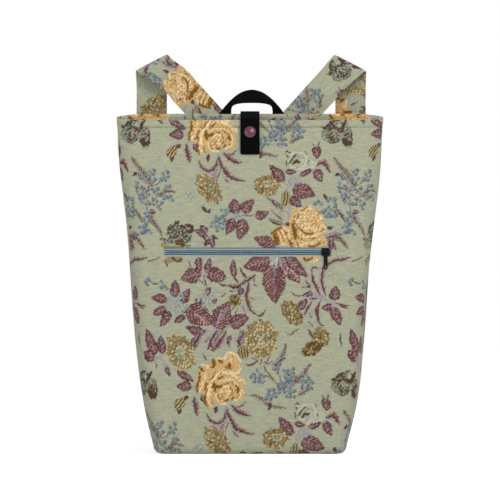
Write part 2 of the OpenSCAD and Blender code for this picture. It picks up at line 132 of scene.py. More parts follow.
def dress(piece, material, body="bag", nodes=()):
    piece.data.materials.clear()
    piece.data.materials.append(material)
    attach(piece, body)
    if nodes:
        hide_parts(*nodes)


# The tapestry's chart: places in chart squares, x to the right and y down, as a weaver draws them
chartSquare = 1.3  # millimetres
chartMiddle = 250.5  # x of the front's middle
chartBase = 452.5  # y of its base
repeatAcross = 203.0
repeatDown = (8.5, 251.0)
# the threads, each one lying over those before it
threadOrder = [
    "mint", "brown", "plum", "rust", "pink", "lilac", "blue", "teal", "night", "olive", "straw", "umber",
    "gold", "cream", "ochre", "chalk"]
threadSets = [threadOrder[k:k + 4] for k in range(0, len(threadOrder), 4)]  # four to a colour attribute

# x, y, length, width, and the way the tip points, clockwise from the right
leafChart = [
    (177.6, 124.5, 18, 6, 32), (176.5, 134.5, 14, 8.5, 180), (197, 148.5, 11, 5, 60),
    (208, 158, 7, 3, 95), (203.7, 229.5, 9, 6, 220), (202, 235, 8, 4.5, 190), (212.5, 244, 9, 5, 80),
    (204.6, 209.6, 8, 3, 230), (209.5, 211, 5, 2.5, -60), (178.5, 146, 6, 3.4, -40),
    (172, 159, 6, 3.4, 100), (208, 240, 12, 5, 60), (199, 232, 9, 4, 200), (215, 238, 7, 3.5, 20),
    (206, 244, 7, 3, 120), (234.6, 206.6, 15, 10, -95), (230.5, 227, 17, 8.5, 115),
    (242, 230, 20, 11, 100), (248, 206, 16, 10, -45), (262, 215, 13, 8, -20), (134.5, 175, 5, 3, 150),
    (153, 212, 6, 4, 10), (261, 155, 8, 3, 110), (319, 176, 14, 8, 62), (306, 173, 12, 5, -20),
    (291, 172, 10, 5, 8), (317.2, 152.6, 12, 8, 90), (277, 173.6, 21, 9, 230), (304.3, 191.7, 23, 13, 20),
    (296, 202.6, 14, 8, 40), (265.4, 242.4, 22, 11, 200), (331, 246, 12, 5, 95), (330, 228, 6, 3, -10),
    (288.5, 224, 6, 3, -60), (326, 198, 7, 3, 60), (191, 276.5, 19, 13, 165), (217.5, 275.7, 18, 13, 20),
    (199.6, 265, 14, 6, 75), (208.5, 266, 15, 6, -80), (233.6, 268, 17, 5.5, -90), (241, 292, 8, 6, 90),
    (175.3, 289, 16, 8.5, -85), (186, 296, 15, 8.5, -60), (160, 298.5, 15, 8, 190),
    (160.5, 311.5, 14, 8, 160), (166, 319, 17, 7.5, 120), (180, 319, 12, 6, 145), (208, 291.5, 9, 6, -60),
    (198.6, 301, 8, 4.5, 215), (214.5, 301.5, 7, 3.5, -35), (200.4, 315.5, 27, 19, 35),
    (222.5, 315, 27, 17, -65), (239.5, 320.5, 19, 12, -25), (195.5, 330.4, 18, 8, 200),
    (193.8, 343.5, 14, 5, 115), (215, 341, 14, 7, 115), (229.5, 340, 9, 3.5, 110), (241, 341, 10, 6, 100),
    (151.5, 341.5, 25, 9, -110), (162.3, 344.5, 17, 7.5, -95), (149.5, 355, 12, 10, 220),
    (169, 370.5, 10, 4, 70), (274.5, 284, 36, 20, 88), (290, 271, 30, 13, 50), (297, 267, 28, 9, 44),
    (257, 264, 25, 15, 163), (308, 294.7, 10, 4.5, 175), (302.5, 304, 12, 7, -50),
    (326.5, 307.4, 10.5, 6.2, 165), (336.3, 316.5, 18, 9, 65), (334.7, 293.5, 13.5, 9.6, -85)]

# stems and blades by their main thread: width, and the points each runs through
bladeChart = {
    "plum": [
        (5, (186.8, 145), (188.5, 155), (190, 163)),
        (3.5, (199.3, 161.5), (203, 168), (209, 170.5), (216, 166), (217.5, 159)),
        (4.5, (218.5, 156), (222.5, 165.5), (229.6, 176), (245, 181.6)),
        (4.5, (223.5, 153), (231.5, 159.5), (242, 163)), (1.2, (238.5, 149), (231, 155), (224, 153)),
        (1.3, (224, 178), (230, 184.5)), (1.5, (136, 213), (141, 220)),
        (5.5, (317.5, 165), (325, 162.5), (330, 172)), (1.2, (312.3, 143.5), (316.1, 147)),
        (1.2, (319.3, 141.8), (318.9, 147)), (3.5, (272.5, 200.5), (277, 206)),
        (2.2, (270, 221), (282, 226)), (1.3, (193, 272), (197.5, 278.5), (204, 284), (207, 286)),
        (1.6, (204.5, 277), (206, 282), (207, 287)), (1.8, (203, 276), (209, 276)),
        (1.3, (189.5, 262), (191.5, 268)), (2.2, (233.6, 276), (239, 283)),
        (2.4, (240.5, 267.8), (242.4, 273.5), (246.2, 277), (249, 279)),
        (3.4, (240.5, 285.6), (246.2, 280.5), (251, 277.5), (255.4, 275.4)),
        (1.4, (254.4, 278), (254.8, 282)), (1.1, (250.5, 297), (254.7, 300.6)),
        (1.6, (229, 292.2), (235.4, 290)), (1.3, (227, 292.5), (222, 297)),
        (1.5, (182, 311), (188.5, 313)), (1.3, (150, 281), (155, 283.5), (160, 284.5)),
        (3.4, (326, 263), (322.8, 273), (322.4, 282), (323.5, 289), (325.5, 295.5)),
        (1.5, (320.5, 271.4), (315, 267), (311.6, 271), (312.3, 276.6)),
        (3.6, (311.8, 273), (314, 281), (317.9, 290), (320, 295)), (1.6, (305.3, 280), (310.9, 287.8)),
        (1.8, (301, 287.2), (306, 287), (311.6, 288.5)), (2, (309.5, 299.7), (314.4, 298), (318, 298.3)),
        (2.7, (315.8, 306), (316.2, 316)), (3.5, (324, 267), (333, 261), (350, 258)),
        (1.2, (290.5, 291.5), (296, 296), (303, 295.5)), (2.4, (311.6, 301.5), (308, 308), (304.6, 315)),
        (1.3, (308, 321.5), (313.7, 326.7)),
        (2.4, (320.7, 300.4), (318.6, 304), (317.9, 310.2), (317.5, 318), (320, 324.3), (324.5, 325.8)),
        (1.9, (334, 303.6), (341, 304.6), (349.5, 306.4)), (1.6, (339, 305), (344, 307), (348.5, 309)),
        (3.4, (249.6, 279), (248.2, 290.7), (247.2, 297), (249.4, 305.4), (252.6, 311), (256.5, 315)),
        (1.8, (255, 314), (259.6, 315.8), (264, 312.6), (266.4, 309.3)),
        (1.1, (285.5, 331.5), (289, 334.5), (295, 331), (300, 328)),
        (3.4, (308, 329.5), (311, 334), (314, 338.5)), (1.6, (278, 361), (285.5, 357.5)),
        (2, (245, 364), (252, 364), (258, 360)), (1.2, (264, 364), (267, 371), (275, 380)),
        (1.8, (204, 353.5), (207, 360)), (4.2, (217, 331), (213, 340), (208, 349)),
        (4.6, (226, 332), (222, 341), (214, 351)), (4.4, (244, 333), (242, 340), (238, 347)),
        (4.4, (202, 333), (198, 342), (192, 351)), (2.2, (329, 239), (337, 236.5), (345, 243))],
    "lilac": [
        (5, (217, 171), (213, 183)), (2, (279, 212), (282, 218)),
        (1.2, (214, 289.5), (220, 292.5), (227, 292.5)), (2, (313, 295.5), (322, 297.2), (332, 303))],
    "brown": [
        (1.6, (218.2, 282.8), (224.6, 285.6), (231, 286)),
        (4.8, (229, 286.2), (235, 286.4), (241.5, 285.2)), (1.6, (136.6, 333), (137.8, 345))],
    "rust": [
        (3, (264, 361), (268, 362), (272, 360))]}

# feathery sprigs: width, and the points the rib runs through from its foot to its tip
fernChart = [
    (7, (275, 364), (279.5, 359.5), (283, 354), (285.5, 344)),
    (7.5, (294, 380), (300, 376), (305, 371), (310, 363.5)), (5, (300, 392.5), (305, 390), (311, 388)),
    (6, (265, 399.5), (258, 396), (251, 394)), (5, (266, 402.5), (276, 405.5), (286, 407)),
    (7, (282, 209), (274, 203), (267, 198.5)), (8, (326, 239), (334, 235), (342, 235)),
    (6, (327, 241), (333, 245), (336, 251)), (7, (243, 333), (242, 340), (240, 347)),
    (8, (221, 333), (217, 341), (212, 350)), (6, (199, 338), (195, 344), (190, 350)),
    (9, (149.5, 183), (141, 171), (131, 158)), (6.5, (151, 218), (157, 226), (163, 237)),
    (5.5, (161, 195), (168, 191), (176, 193)), (7, (333, 237), (341, 240), (347.5, 249)),
    (5, (136, 212), (140, 217), (143, 223))]

# fine stems and veins by their thread
stemChart = {
    "lilac": [
        ((283, 207), (287, 213), (291, 222)), ((290, 205), (289, 214)),
        ((300, 282), (308, 290), (318, 298)), ((303, 297), (311, 294), (320, 297)),
        ((305, 267.4), (307, 276)), ((307, 290), (315.8, 293.4), (324, 297)),
        ((327, 276.6), (337.5, 273)), ((241, 306), (241.8, 311.5)), ((214, 335), (209, 345)),
        ((204, 329), (200, 334)), ((209, 328.5), (205, 334)), ((309, 305), (313, 315), (319, 325)),
        ((316, 300), (314, 312)), ((320, 298), (334, 304)), ((228, 333), (223, 346)),
        ((236, 333), (235, 344)), ((210, 333), (202, 344)), ((205, 287), (209, 296), (214, 304)),
        ((232, 326), (224, 330)), ((152, 362), (160, 357), (168, 365)), ((163, 362), (170, 372)),
        ((218, 165), (212, 182)), ((214, 168), (210, 178)), ((268, 258), (272, 264), (275, 270)),
        ((216, 322), (222, 318), (228, 308)), ((224, 215), (232, 214), (240, 216)),
        ((209, 224), (214, 228), (220, 232)), ((170, 297), (176, 303), (182, 309)),
        ((166, 306), (174, 305)), ((292, 176), (290, 184), (286, 192)), ((296, 177), (296, 186)),
        ((300, 178), (303, 186)), ((205, 270), (206, 280))],
    "plum": [
        ((271, 210), (277, 216), (283, 221)), ((268.7, 219), (277, 221), (285, 225)),
        ((309, 313), (311.6, 318)), ((242.4, 305.4), (246.2, 313)), ((238, 308.6), (235.4, 315)),
        ((234.8, 306.7), (232.2, 309.5)), ((207, 329), (202, 335)), ((254, 285), (257, 286.8)),
        ((224, 332), (218, 345)), ((232, 334), (229, 347)), ((213, 334), (206, 342)),
        ((240, 330), (246, 342)), ((252, 357), (258, 361)), ((262, 358), (260, 364)),
        ((270, 356), (266, 363)), ((156, 360), (158, 368)), ((221, 168), (216, 184)),
        ((236, 218), (244, 216), (256, 216)), ((148, 262), (160, 258)), ((286, 224), (292, 232)),
        ((258, 142), (262, 150))],
    "pink": [
        ((221, 334), (215, 346)), ((279, 261), (285, 274), (288, 283)),
        ((195, 312.4), (204, 321), (211.8, 328.4)), ((222.6, 309.2), (217, 325)),
        ((283, 260), (291, 270), (300, 281.5))],
    "chalk": [
        ((276, 259), (270, 266)), ((277, 260), (276.5, 268))]}

# x, y and radius of the clusters of small blue berries, and the berries of the big spray one by one
berryChart = [
    (152, 180, 4), (160, 206, 4), (146, 222, 3.6), (167, 187, 3.6), (140, 177, 3), (143, 228, 5),
    (149, 232, 4), (219, 224, 8), (225, 212, 5), (318.5, 203, 4), (331, 199.5, 4), (329.5, 212.5, 7),
    (147.5, 281.5, 3.5), (163, 285.5, 4.5), (258, 376, 7), (277, 367, 4.5), (290, 374, 7), (306, 382, 7),
    (287, 385, 7), (271, 394, 6), (291, 394, 5), (280, 388, 5)]
sprayChart = [
    (149.5, 171.5), (154, 170.2), (153.2, 174.3), (162.6, 173.9), (167, 171.5), (168.3, 176.4),
    (164.2, 177.2), (161.7, 180), (165.8, 180.5), (136.8, 182.9), (136, 187.6), (141.3, 186.2),
    (136.8, 191.1), (143.4, 189), (148.3, 190.2), (151.9, 188.6), (157.7, 189), (154.4, 191.5),
    (138.9, 194.4), (142.8, 194.7), (149.1, 195.1), (157.5, 194.2), (140.1, 198.6), (144.2, 198),
    (141.7, 202), (153.2, 199.2), (157, 201.5), (145.8, 203.7), (149.5, 204.1), (153.4, 204.2),
    (163.4, 198.8), (167.2, 197.2), (171, 196.4), (171.9, 200.4), (131.5, 199.8), (132.3, 204.1),
    (130.7, 211.1), (132.8, 215.3), (145, 213.5), (148.3, 213.1), (150.3, 216.8), (146.6, 217)]
sprayStems = [
    ((152, 173), (150, 182), (147, 193), (148, 206)), ((165, 177), (158, 184), (150, 186)),
    ((137, 187), (146, 193)), ((141, 200), (147, 197)), ((169, 198), (160, 197), (151, 199)),
    ((131, 201), (134, 208), (132, 215)), ((148, 206), (147, 214)), ((258, 372), (268, 376), (281, 385)),
    ((275, 364), (279, 375), (283, 386)), ((291, 371), (286, 381), (279, 392)),
    ((308, 381), (296, 382), (285, 387)), ((268, 396), (277, 391), (283, 386)), ((293, 396), (287, 390))]

# x, y, radius across, radius along, the way the long side points, petals' tone and the middle's greyness
carnationChart = [
    (209, 188.8, 10, 17, -38, 0.42, 0.2), (267, 186, 13, 10.5, 0, 0.42, 0.42),
    (181.4, 352, 13, 19, -25, 0.5, 0.55), (261, 338.4, 16.5, 18.5, 0, 0.5, 0.35),
    (292, 313, 8.5, 14, -38, 0.26, 0.0), (321, 336, 7.5, 10, -30, 0.3, 0.0),
    (312, 348, 7, 11.5, 65, 0.14, 0.0), (235.4, 300.3, 6.4, 6, 0, 0.22, 0.0)]

# x, y, half length, half width, angle
budChart = [
    (172, 151.7, 7, 4.5, -50), (285.8, 199, 8, 4.5, 100), (243.5, 352, 6.5, 6, 80)]

# flowers drawn stroke by stroke, by thread: width, and the points each stroke runs through
tulipStrokes = {
    "mint": [
        (16, (129, 129), (132, 137)), (10, (145, 130), (145.5, 141)), (14, (172, 230), (186, 233)),
        (11, (172, 240), (187, 240)), (3, (125, 127.4), (129, 124.4), (135, 122.9)),
        (4, (124, 136.4), (126, 139.4), (130, 140.4), (134, 138.4)), (3, (138, 121.4), (140, 123.4)),
        (5, (141, 130.4), (143, 135.4), (142, 140.4)), (3, (146, 132.4), (145.5, 138.4)),
        (4, (122, 131), (123, 135)), (2, (149, 146.4), (146, 148.4)), (4, (171.5, 229.2)),
        (4, (179.6, 229.6), (181.7, 228.9)), (4.5, (174.6, 234.8), (177.5, 233.8)),
        (4, (185.9, 233.8), (186.6, 235.9)), (4, (167.3, 241.8), (170.4, 242.2)),
        (3.4, (187.6, 242.2), (190.1, 240.1), (191.5, 235.2)), (3.4, (190.1, 246.4)),
        (2, (175.7, 226.8), (178.9, 226.1))],
    "brown": [
        (3, (125, 125.4), (130, 121.4), (137, 119.9)), (3.2, (126, 130.4), (131, 127.4), (139, 131.4)),
        (3.8, (144, 120.4), (141, 125.4), (139, 129.4)), (1.7, (138, 132.4), (137, 137.4), (134, 142.4)),
        (2.4, (147, 128.4), (149, 135.4), (149.5, 139)), (1.6, (125, 141.4), (130, 143.4), (135, 141.4)),
        (6, (141, 140), (144.5, 144), (147.5, 143)), (3.2, (120, 127.4), (123, 128.4)),
        (1.3, (121, 130), (120, 136), (123, 141)), (1.9, (129, 133), (128, 138), (131, 140)),
        (5.4, (177.8, 223.2)), (2.2, (168.7, 229.6), (169, 227.8), (173.9, 226.8), (176, 223.9)),
        (2, (169, 231.7), (166.9, 235.2)), (3.2, (181, 225.7), (184.1, 227.1)),
        (4.7, (187.6, 226), (191.8, 227.5), (191.5, 231), (188.7, 232.4)),
        (2.4, (183.1, 231.3), (182, 232.7)), (2.4, (177.8, 232.4), (178.9, 233.4)),
        (2.2, (171.8, 232.7), (173.6, 232)), (2, (176, 230.3), (177.8, 228.2))],
    "olive": [
        (4.5, (131.6, 130.8)), (2.5, (139, 133.4), (137, 137.4)), (1.8, (147, 127.4), (147.5, 132.4)),
        (2.5, (189, 229.2)), (4, (162, 245), (166.2, 247.5), (174.6, 248), (182, 249)),
        (7, (167, 261), (173, 259), (180, 259))],
    "umber": [
        (2.4, (170.4, 235.5), (171.8, 238)), (2, (172.5, 238.7), (176.4, 238), (179.2, 236.2)),
        (3.5, (185.5, 238.7)), (1.4, (182.4, 236.9), (183.8, 235.9)),
        (6, (177.5, 243.6), (181, 241.8), (183.1, 245.4)),
        (2, (160.6, 240.1), (163.8, 239.4), (167.3, 239.7)), (1.8, (163.8, 241.5), (166.2, 244.6)),
        (1.6, (172.5, 243.6), (174.6, 242.9)), (1.6, (186.6, 245.4), (188.3, 247.8)),
        (2.4, (172, 258), (178, 262), (182, 259)), (2, (166, 262), (168, 266))]}
whiteRoseStrokes = {
    "brown": [
        (2, (286.7, 151.6), (290.5, 152.3)), (1.6, (286.7, 155.4), (288.1, 157.5)),
        (1.7, (286.7, 161), (287, 166)), (1.8, (296.5, 154), (293, 158.2), (289.5, 163.9)),
        (3.6, (294, 164.2), (296.1, 161.8), (299.6, 162.1)), (1.5, (298.9, 157.2)), (1.5, (302.5, 157.2)),
        (1.4, (296.8, 167.4)), (1.5, (306, 151.6), (306.7, 154.4)),
        (3, (300.7, 174.4), (305.3, 173.3), (307.4, 170.5), (310.9, 170.9)),
        (1.2, (308.1, 163.2), (309.8, 161))],
    "chalk": [
        (1.6, (285.6, 159.6)), (1.8, (288.4, 154), (294, 153.3), (297.5, 153), (303.9, 152.6)),
        (1.5, (288.8, 161), (291.6, 155.8), (294.7, 154)),
        (2, (290.5, 164.6), (291.9, 167.4), (296.1, 167)),
        (2.2, (304.6, 154), (306.7, 159.6), (306, 164.6), (302.5, 166.7)),
        (2.2, (298.2, 169.8), (302.5, 168.8), (306.7, 169.1)), (1.6, (298.2, 173)),
        (2, (310.9, 160.7), (315.1, 162.8), (316.5, 163.9)), (1.7, (308.8, 168.1), (315.1, 166.7)),
        (1.4, (310.2, 164.6), (313.7, 165.3)), (1.3, (299.5, 159.5), (303, 160.5), (302.5, 164))]}
roseStrokes = {
    "gold": [
        (40, (220, 382), (222, 383)), (16, (231.5, 359.5)), (14, (235.5, 366.5)),
        (13, (221, 363), (213, 366)), (10, (205, 368), (201.5, 380), (201, 388)), (17, (237.5, 381)),
        (12, (232, 392.5)), (11, (240, 386), (239, 396)), (13, (228, 368)), (13, (222, 398)),
        (9, (211, 397), (211, 403)), (9, (204, 380), (205.5, 391))],
    "cream": [
        (1.8, (225.5, 357), (228, 353), (233, 352.2), (238, 355), (240, 362)),
        (1.8, (228, 369), (233, 372), (239, 371.5), (241.5, 368)),
        (1.6, (202, 365), (206, 364), (210, 367.5)), (1.6, (217, 358.7), (222, 357.5), (226, 359)),
        (2, (206, 373), (204, 380), (202.5, 387), (199.5, 391)),
        (3.2, (219, 372), (214.5, 378), (211.2, 384), (209.2, 390), (209, 395)),
        (2.2, (222, 370.5), (228, 372.5), (235, 375), (241, 380)),
        (1.6, (225, 380), (231, 379), (237, 383), (241, 389), (240, 395)),
        (1.8, (221.3, 391), (223, 387), (227, 385.8), (230.5, 388), (230, 392), (227, 395), (223.2, 394.4)),
        (1.8, (216, 393), (219, 399.5), (223, 402.5), (227.5, 402.5)),
        (1.6, (233, 400), (238, 398), (241.5, 393)), (1.8, (208.5, 398), (210.5, 403)),
        (1.6, (226, 389.5), (227.5, 391.5)), (1.8, (244, 379), (245.5, 383)),
        (1.8, (232, 361), (230, 357)), (1.4, (223, 379.5), (219, 382))],
    "pink": [
        (1, (204, 372))],
    "ochre": [
        (2.6, (199.7, 372.7), (199.7, 379.2), (197.8, 385.2), (197.7, 391.1)),
        (3, (200.8, 367.3), (204, 370.5)), (4.2, (213.2, 360.2), (214.3, 363), (213.8, 366.7)),
        (3.4, (219.2, 359.7), (222, 361.3)), (4, (229.5, 364), (230.6, 365.7)), (1.6, (232.8, 367.3)),
        (1.5, (216.5, 371.6), (212.2, 377.6), (210.5, 379.7)),
        (2.2, (218.4, 377.6), (220.8, 376.5), (223.5, 375.1)),
        (2, (207.3, 381.9), (206.2, 386.2), (204.6, 389.5)), (3.8, (214.3, 383), (215.4, 390)),
        (3.2, (214.3, 385.7), (220.3, 385.7), (221.9, 384.6)), (1.6, (225.2, 383.5), (229, 383)),
        (1.4, (232.5, 381.4), (233.8, 383.5)), (1.7, (230.5, 387), (232.6, 389)),
        (3.2, (237.1, 388.4), (238.7, 390.6)), (1.6, (234.9, 390.6)),
        (1.7, (232.4, 391.1), (230.8, 394.4)), (2.4, (233.8, 395.5), (232.5, 398.2)),
        (1.4, (238.2, 395.5), (237.1, 397.1)), (2.6, (225.7, 399.3), (229, 399.3)),
        (1.6, (236, 384), (239.5, 388)), (1.8, (226, 366), (231, 369)), (1.5, (218, 394), (221, 401)),
        (1.4, (206, 392), (208, 388)), (1.2, (222.5, 393.3), (224.1, 396)),
        (2.2, (205.7, 394.9), (206.2, 400.9), (207.8, 405)),
        (1.4, (213.2, 398.2), (212.7, 400.9), (214.3, 403.6))]}
doubleRoseStrokes = {
    "gold": [
        (34, (309, 221)), (11, (297, 213), (295, 222), (298, 230)), (12, (318, 241), (322.5, 241.5)),
        (9, (319, 231), (322, 229)), (17, (296, 240), (314, 240)), (19, (280, 234), (282, 238)),
        (14, (303, 255), (315, 255)), (10, (289, 230), (290, 242))],
    "cream": [
        (1.6, (294, 219), (298, 225.5), (303, 231), (308, 233.5)),
        (1.6, (300, 233.5), (304, 236.5), (310, 237.6), (318, 234.6), (325, 231)),
        (2.2, (280.8, 231.3), (284, 235), (287, 240.2)), (1.6, (283, 227.5), (288, 231), (290, 237)),
        (1.6, (280, 245), (286, 245)), (1.6, (318, 229), (324, 226), (325.5, 231)),
        (1.8, (296, 247), (304, 244), (312, 243), (320, 240)), (1.5, (300, 251), (308, 262), (318, 260)),
        (1.4, (278, 233), (280.5, 239), (282, 244)), (1.4, (299, 241), (303, 241.5))],
    "ochre": [
        (1.9, (294.1, 221.4), (298.6, 228.1), (304.9, 233), (309.3, 235.3), (312.9, 233)),
        (4.4, (292.8, 225), (294.5, 232), (295.9, 238.4)),
        (3, (271.9, 234.4), (276.7, 229.5), (281.2, 228.6)), (5.2, (275, 235), (277.5, 244)),
        (2.6, (288.3, 239.7), (292.4, 246.9)), (1.2, (279, 231), (283, 237), (285, 242)),
        (1.2, (284, 231), (286.5, 236)), (1.2, (277.5, 234), (280, 242)), (2, (299, 238.5), (302, 239.2)),
        (1.6, (311.1, 239.7), (315, 238.4)), (2.2, (308.9, 247.3), (314.7, 246), (320, 243.8)),
        (1.8, (297, 243), (298, 247)), (2.6, (303, 258), (307, 261), (312, 258.5)),
        (1.6, (320, 232), (324, 230)), (1.4, (299, 213), (297, 219)), (1.4, (306, 209), (301, 211)),
        (1.4, (318, 211), (322, 216))]}
# x, y and radius of the double rose's ruffled ball, and of the loose pale sprigs
fluffChart = [(308.4, 220.5, 16)]
sprigChart = [
    (177, 303, 11), (276, 262, 6), (207, 300, 9), (238, 215, 4), (209, 236, 3), (292, 183, 6),
    (190.8, 196, 5)]


# widths, pitches and sizes in chart squares
motifSize = {
    "leafLength": 1.08, "leafWidth": 1.15, "stem": 1.4, "sprayStem": 1.1, "leafletPitch": 2.9, "berry": 1.9,
    "berryVaries": 0.25, "berryRoom": 4.8, "berrySpread": 1.06, "petalPitch": 3.5, "fluffPitch": 3.3,
    "stripePitch": 2.7, "blank": -3.0}


def turned(dx, dy, angle):
    c = math.cos(math.radians(angle))
    s = math.sin(math.radians(angle))
    return dx * c + dy * s, dy * c - dx * s


def patchy(x, y, seed):
    # uneven flecks, about minus one to one, where the weaver changes shuttles
    wave = np.sin(1.3 * x + 0.7 * np.sin(0.9 * y + seed) + seed)
    broad = wave * np.sin(1.1 * y - 0.5 * np.sin(0.8 * x) + 2 * seed)
    fine = np.sin(2.3 * x - 1.7 * y + 3 * seed) * np.sin(1.9 * y + 1.2 * x + seed)
    return 0.6 * broad + 0.5 * fine


def leafMarks(x, y, length, width):
    along = np.clip(x / length + 0.5, 0, 1)
    tooth = x * 0.42 + np.sign(y) * 0.2
    saw = (tooth - np.floor(tooth) - 0.5) * (0.3 if width > 6 else 0.1)
    edge = width * 1.31 * along ** 0.55 * (1 - along) ** 0.9 * (1 + saw)
    inside = edge - np.abs(y) - np.clip(np.abs(x) - length / 2, 0, None)
    mottle = patchy(x, y, length * 0.7 + width)
    outline = 0.05 + 0.5 * np.sign(y) - np.abs(inside - 0.3) + 0.7 * mottle
    marks = {"plum": inside + 0.2, "night": np.minimum(inside + 0.3, outline)}
    if width >= 4:
        slant = x - 0.9 * np.abs(y)
        fan = np.cos(slant * 2 * math.pi / (2.8 if width < 12 else 3.8) + 0.9 * mottle)
        streak = patchy(slant * 1.25, np.abs(y) * 0.45, length + 0.3 * width)
        marks["rust"] = np.minimum(inside - 0.8, 1.6 * streak - 0.15 + 0.35 * np.sign(y))
        marks["pink"] = np.minimum(inside - 0.6, fan * 1.5 + 0.8 * streak + 0.4 * mottle - 1.1)
        marks["night"] = np.maximum(marks["night"], np.minimum(inside - 0.5, -1.5 * streak - 0.85))
        rib = 0.5 - np.abs(y + 0.4 * np.sin(x * 0.4)) - np.clip(along - 0.75, 0, None) * 4
        stalk = np.minimum(0.6 - np.abs(y), np.minimum(-x - 0.42 * length, x + 0.7 * length))
        marks["lilac"] = np.maximum(np.minimum(inside - 0.4, rib + 0.4 * mottle), stalk)
    return marks


def alongLine(u, v, points):
    # how far a spot lies from a line of points, on which side, and its share of the way along
    best = np.full(u.shape, 1e9)
    share = np.zeros(u.shape)
    side = np.zeros(u.shape)
    lengths = [math.dist(a, b) for a, b in zip(points, points[1:])]
    total = sum(lengths)
    passed = 0
    for (a, b), length in zip(zip(points, points[1:]), lengths):
        ax, ay = (b[0] - a[0]) / length, (b[1] - a[1]) / length
        s = np.clip((u - a[0]) * ax + (v - a[1]) * ay, 0, length)
        dx = u - a[0] - s * ax
        dy = v - a[1] - s * ay
        far = np.hypot(dx, dy)
        closer = far < best
        best = np.where(closer, far, best)
        share = np.where(closer, (passed + s) / total, share)
        side = np.where(closer, dx * ay - dy * ax, side)
        passed += length
    return best, side, share


def rounded(points, steps=4):
    # a smooth line through the points
    line = []
    for i in range(len(points) - 1):
        a = points[max(0, i - 1)]
        b, c = points[i], points[i + 1]
        d = points[min(len(points) - 1, i + 2)]
        for k in range(steps):
            t = k / steps
            line.append(tuple(
                q + 0.5 * t * ((r - p) + t * ((2 * p - 5 * q + 4 * r - w) + t * (3 * (q - r) + w - p)))
                for p, q, r, w in zip(a, b, c, d)))
    return line + [points[-1]]


def bladeMarks(u, v, points, width, thread):
    far, side, share = alongLine(u, v, points)
    body = width / 2 * np.clip(4 * share * (1 - share), 0.12, 1) ** 0.6
    if width >= 3.5:
        tooth = share * math.dist(points[0], points[-1]) / 3.4 + 0.5 * (side > 0)
        body = body * (1.25 - 0.6 * (tooth - np.floor(tooth)))
    marks = {thread: body - far + 0.15}
    if width >= 2.8:
        mottle = patchy(u, v, width)
        marks["pink"] = np.minimum(body - far + 0.1, 0.4 - np.abs(side - body + 0.6) + 0.5 * mottle)
        marks["rust"] = np.minimum(body - far - 0.5, side * 0.7 + 0.4 * mottle)
        marks["night"] = np.minimum(body - far + 0.2, -side - body + 0.9 + 0.3 * mottle)
        strand = 0.65 - np.abs(side + body + 1.2) + 0.35 * mottle
        marks["lilac"] = np.minimum(strand, 2.4 - 6 * np.abs(share - 0.45))
    return marks


def fernMarks(u, v, points, width, thread):
    far, side, share = alongLine(u, v, points)
    length = sum(math.dist(a, b) for a, b in zip(points, points[1:]))
    pitch = motifSize["leafletPitch"]
    place = (share * length - 0.8 * np.abs(side)) / pitch + 0.5 * (side > 0)  # leaflets slant to the tip
    leaflet = 0.85 - pitch * np.abs(place - np.rint(place))
    body = width / 2 * np.clip(1.1 - share, 0, 1) ** 0.6 - far
    leaves = np.minimum(leaflet, body)
    return {thread: np.maximum(0.6 - far, leaves), "lilac": np.minimum(leaves - 0.25, side - 0.8)}


def strokeMarks(u, v, points, width, thread):
    far, _, share = alongLine(u, v, points)
    mark = width / 2 * (0.8 + 0.2 * np.sin(math.pi * share)) - far
    mottle = patchy(u * 1.2, v * 1.2, width)
    if thread == "gold":  # petals are flecked
        return {"gold": mark + 0.2 * mottle, "cream": np.minimum(mark - 1.5, 1.5 * mottle - 0.9),
                "ochre": np.minimum(mark - 1.5, -1.5 * mottle - 0.8)}
    if thread == "mint":
        return {"mint": mark, "brown": np.minimum(mark - 0.3, 1.7 * mottle - 0.1)}
    ragged = {"brown": 1.3, "ochre": 0.9}.get(thread, 0.6)
    return {thread: mark + ragged * mottle * (width > 1.9)}


def ruffles(x, y, pitch, seed):
    # small petals in rings: how deep a spot lies in its petal, and the petal's own number from 0 to 1
    bearing = np.arctan2(y, x)
    ring = np.hypot(x, y) / pitch + 0.2 * np.sin(3 * bearing + seed)
    layer = np.floor(ring)
    count = np.maximum(4, np.rint(7 * (layer + 0.6)))
    petal = (bearing / (2 * math.pi) + layer * 0.37) * count
    place = np.floor(petal)
    lean = petal - place - 0.5
    depth = ring - layer - 0.5
    number = np.sin(np.mod(place, count) * 12.9898 + layer * 78.233 + seed) * 43758.5453
    return (0.5 - np.hypot(lean, np.maximum(depth, -0.7 * depth))) * pitch, number - np.floor(number)


def fluffMarks(x, y, radius):
    # the ruffled ball of the double rose
    body, number = ruffles(x - 2, y - 3, motifSize["fluffPitch"], 0.8)
    mottle = patchy(x * 1.1, y * 1.5, 0.8)
    inside = radius - np.hypot(x, y)
    return {"cream": np.minimum(inside - 1, np.minimum(body - 0.3, number * 3 - 1.2) + 0.7 * mottle),
            "ochre": np.minimum(inside - 1, -body - 0.05 - number * 0.6 + 0.9 * mottle)}


def carnationMarks(x, y, across, along, tone, grey):
    size = (across + along) / 2
    bearing = np.arctan2(y / along, x / across)
    share = np.hypot(x / across, y / along)
    inside = (1 + 0.06 * np.sin(9 * bearing + across) + 0.05 * np.sin(15 * bearing) - share) * size
    body, number = ruffles(x * size / across, y * size / along, motifSize["petalPitch"], across)
    mottle = patchy(x, y, across)
    between = np.maximum(-body + 0.1 + (0.5 - tone), (0.5 - number - tone) * 4)
    return {
        "mint": inside,
        "olive": np.minimum(inside + 0.2, (share - 0.7 * grey) * size * 0.5 + 2 * mottle + 0.3),
        "straw": np.minimum(inside, np.minimum(body - 0.1, (number + tone - 1) * 5) + 0.5 * mottle),
        "umber": np.minimum(inside, between + 0.7 * mottle)}


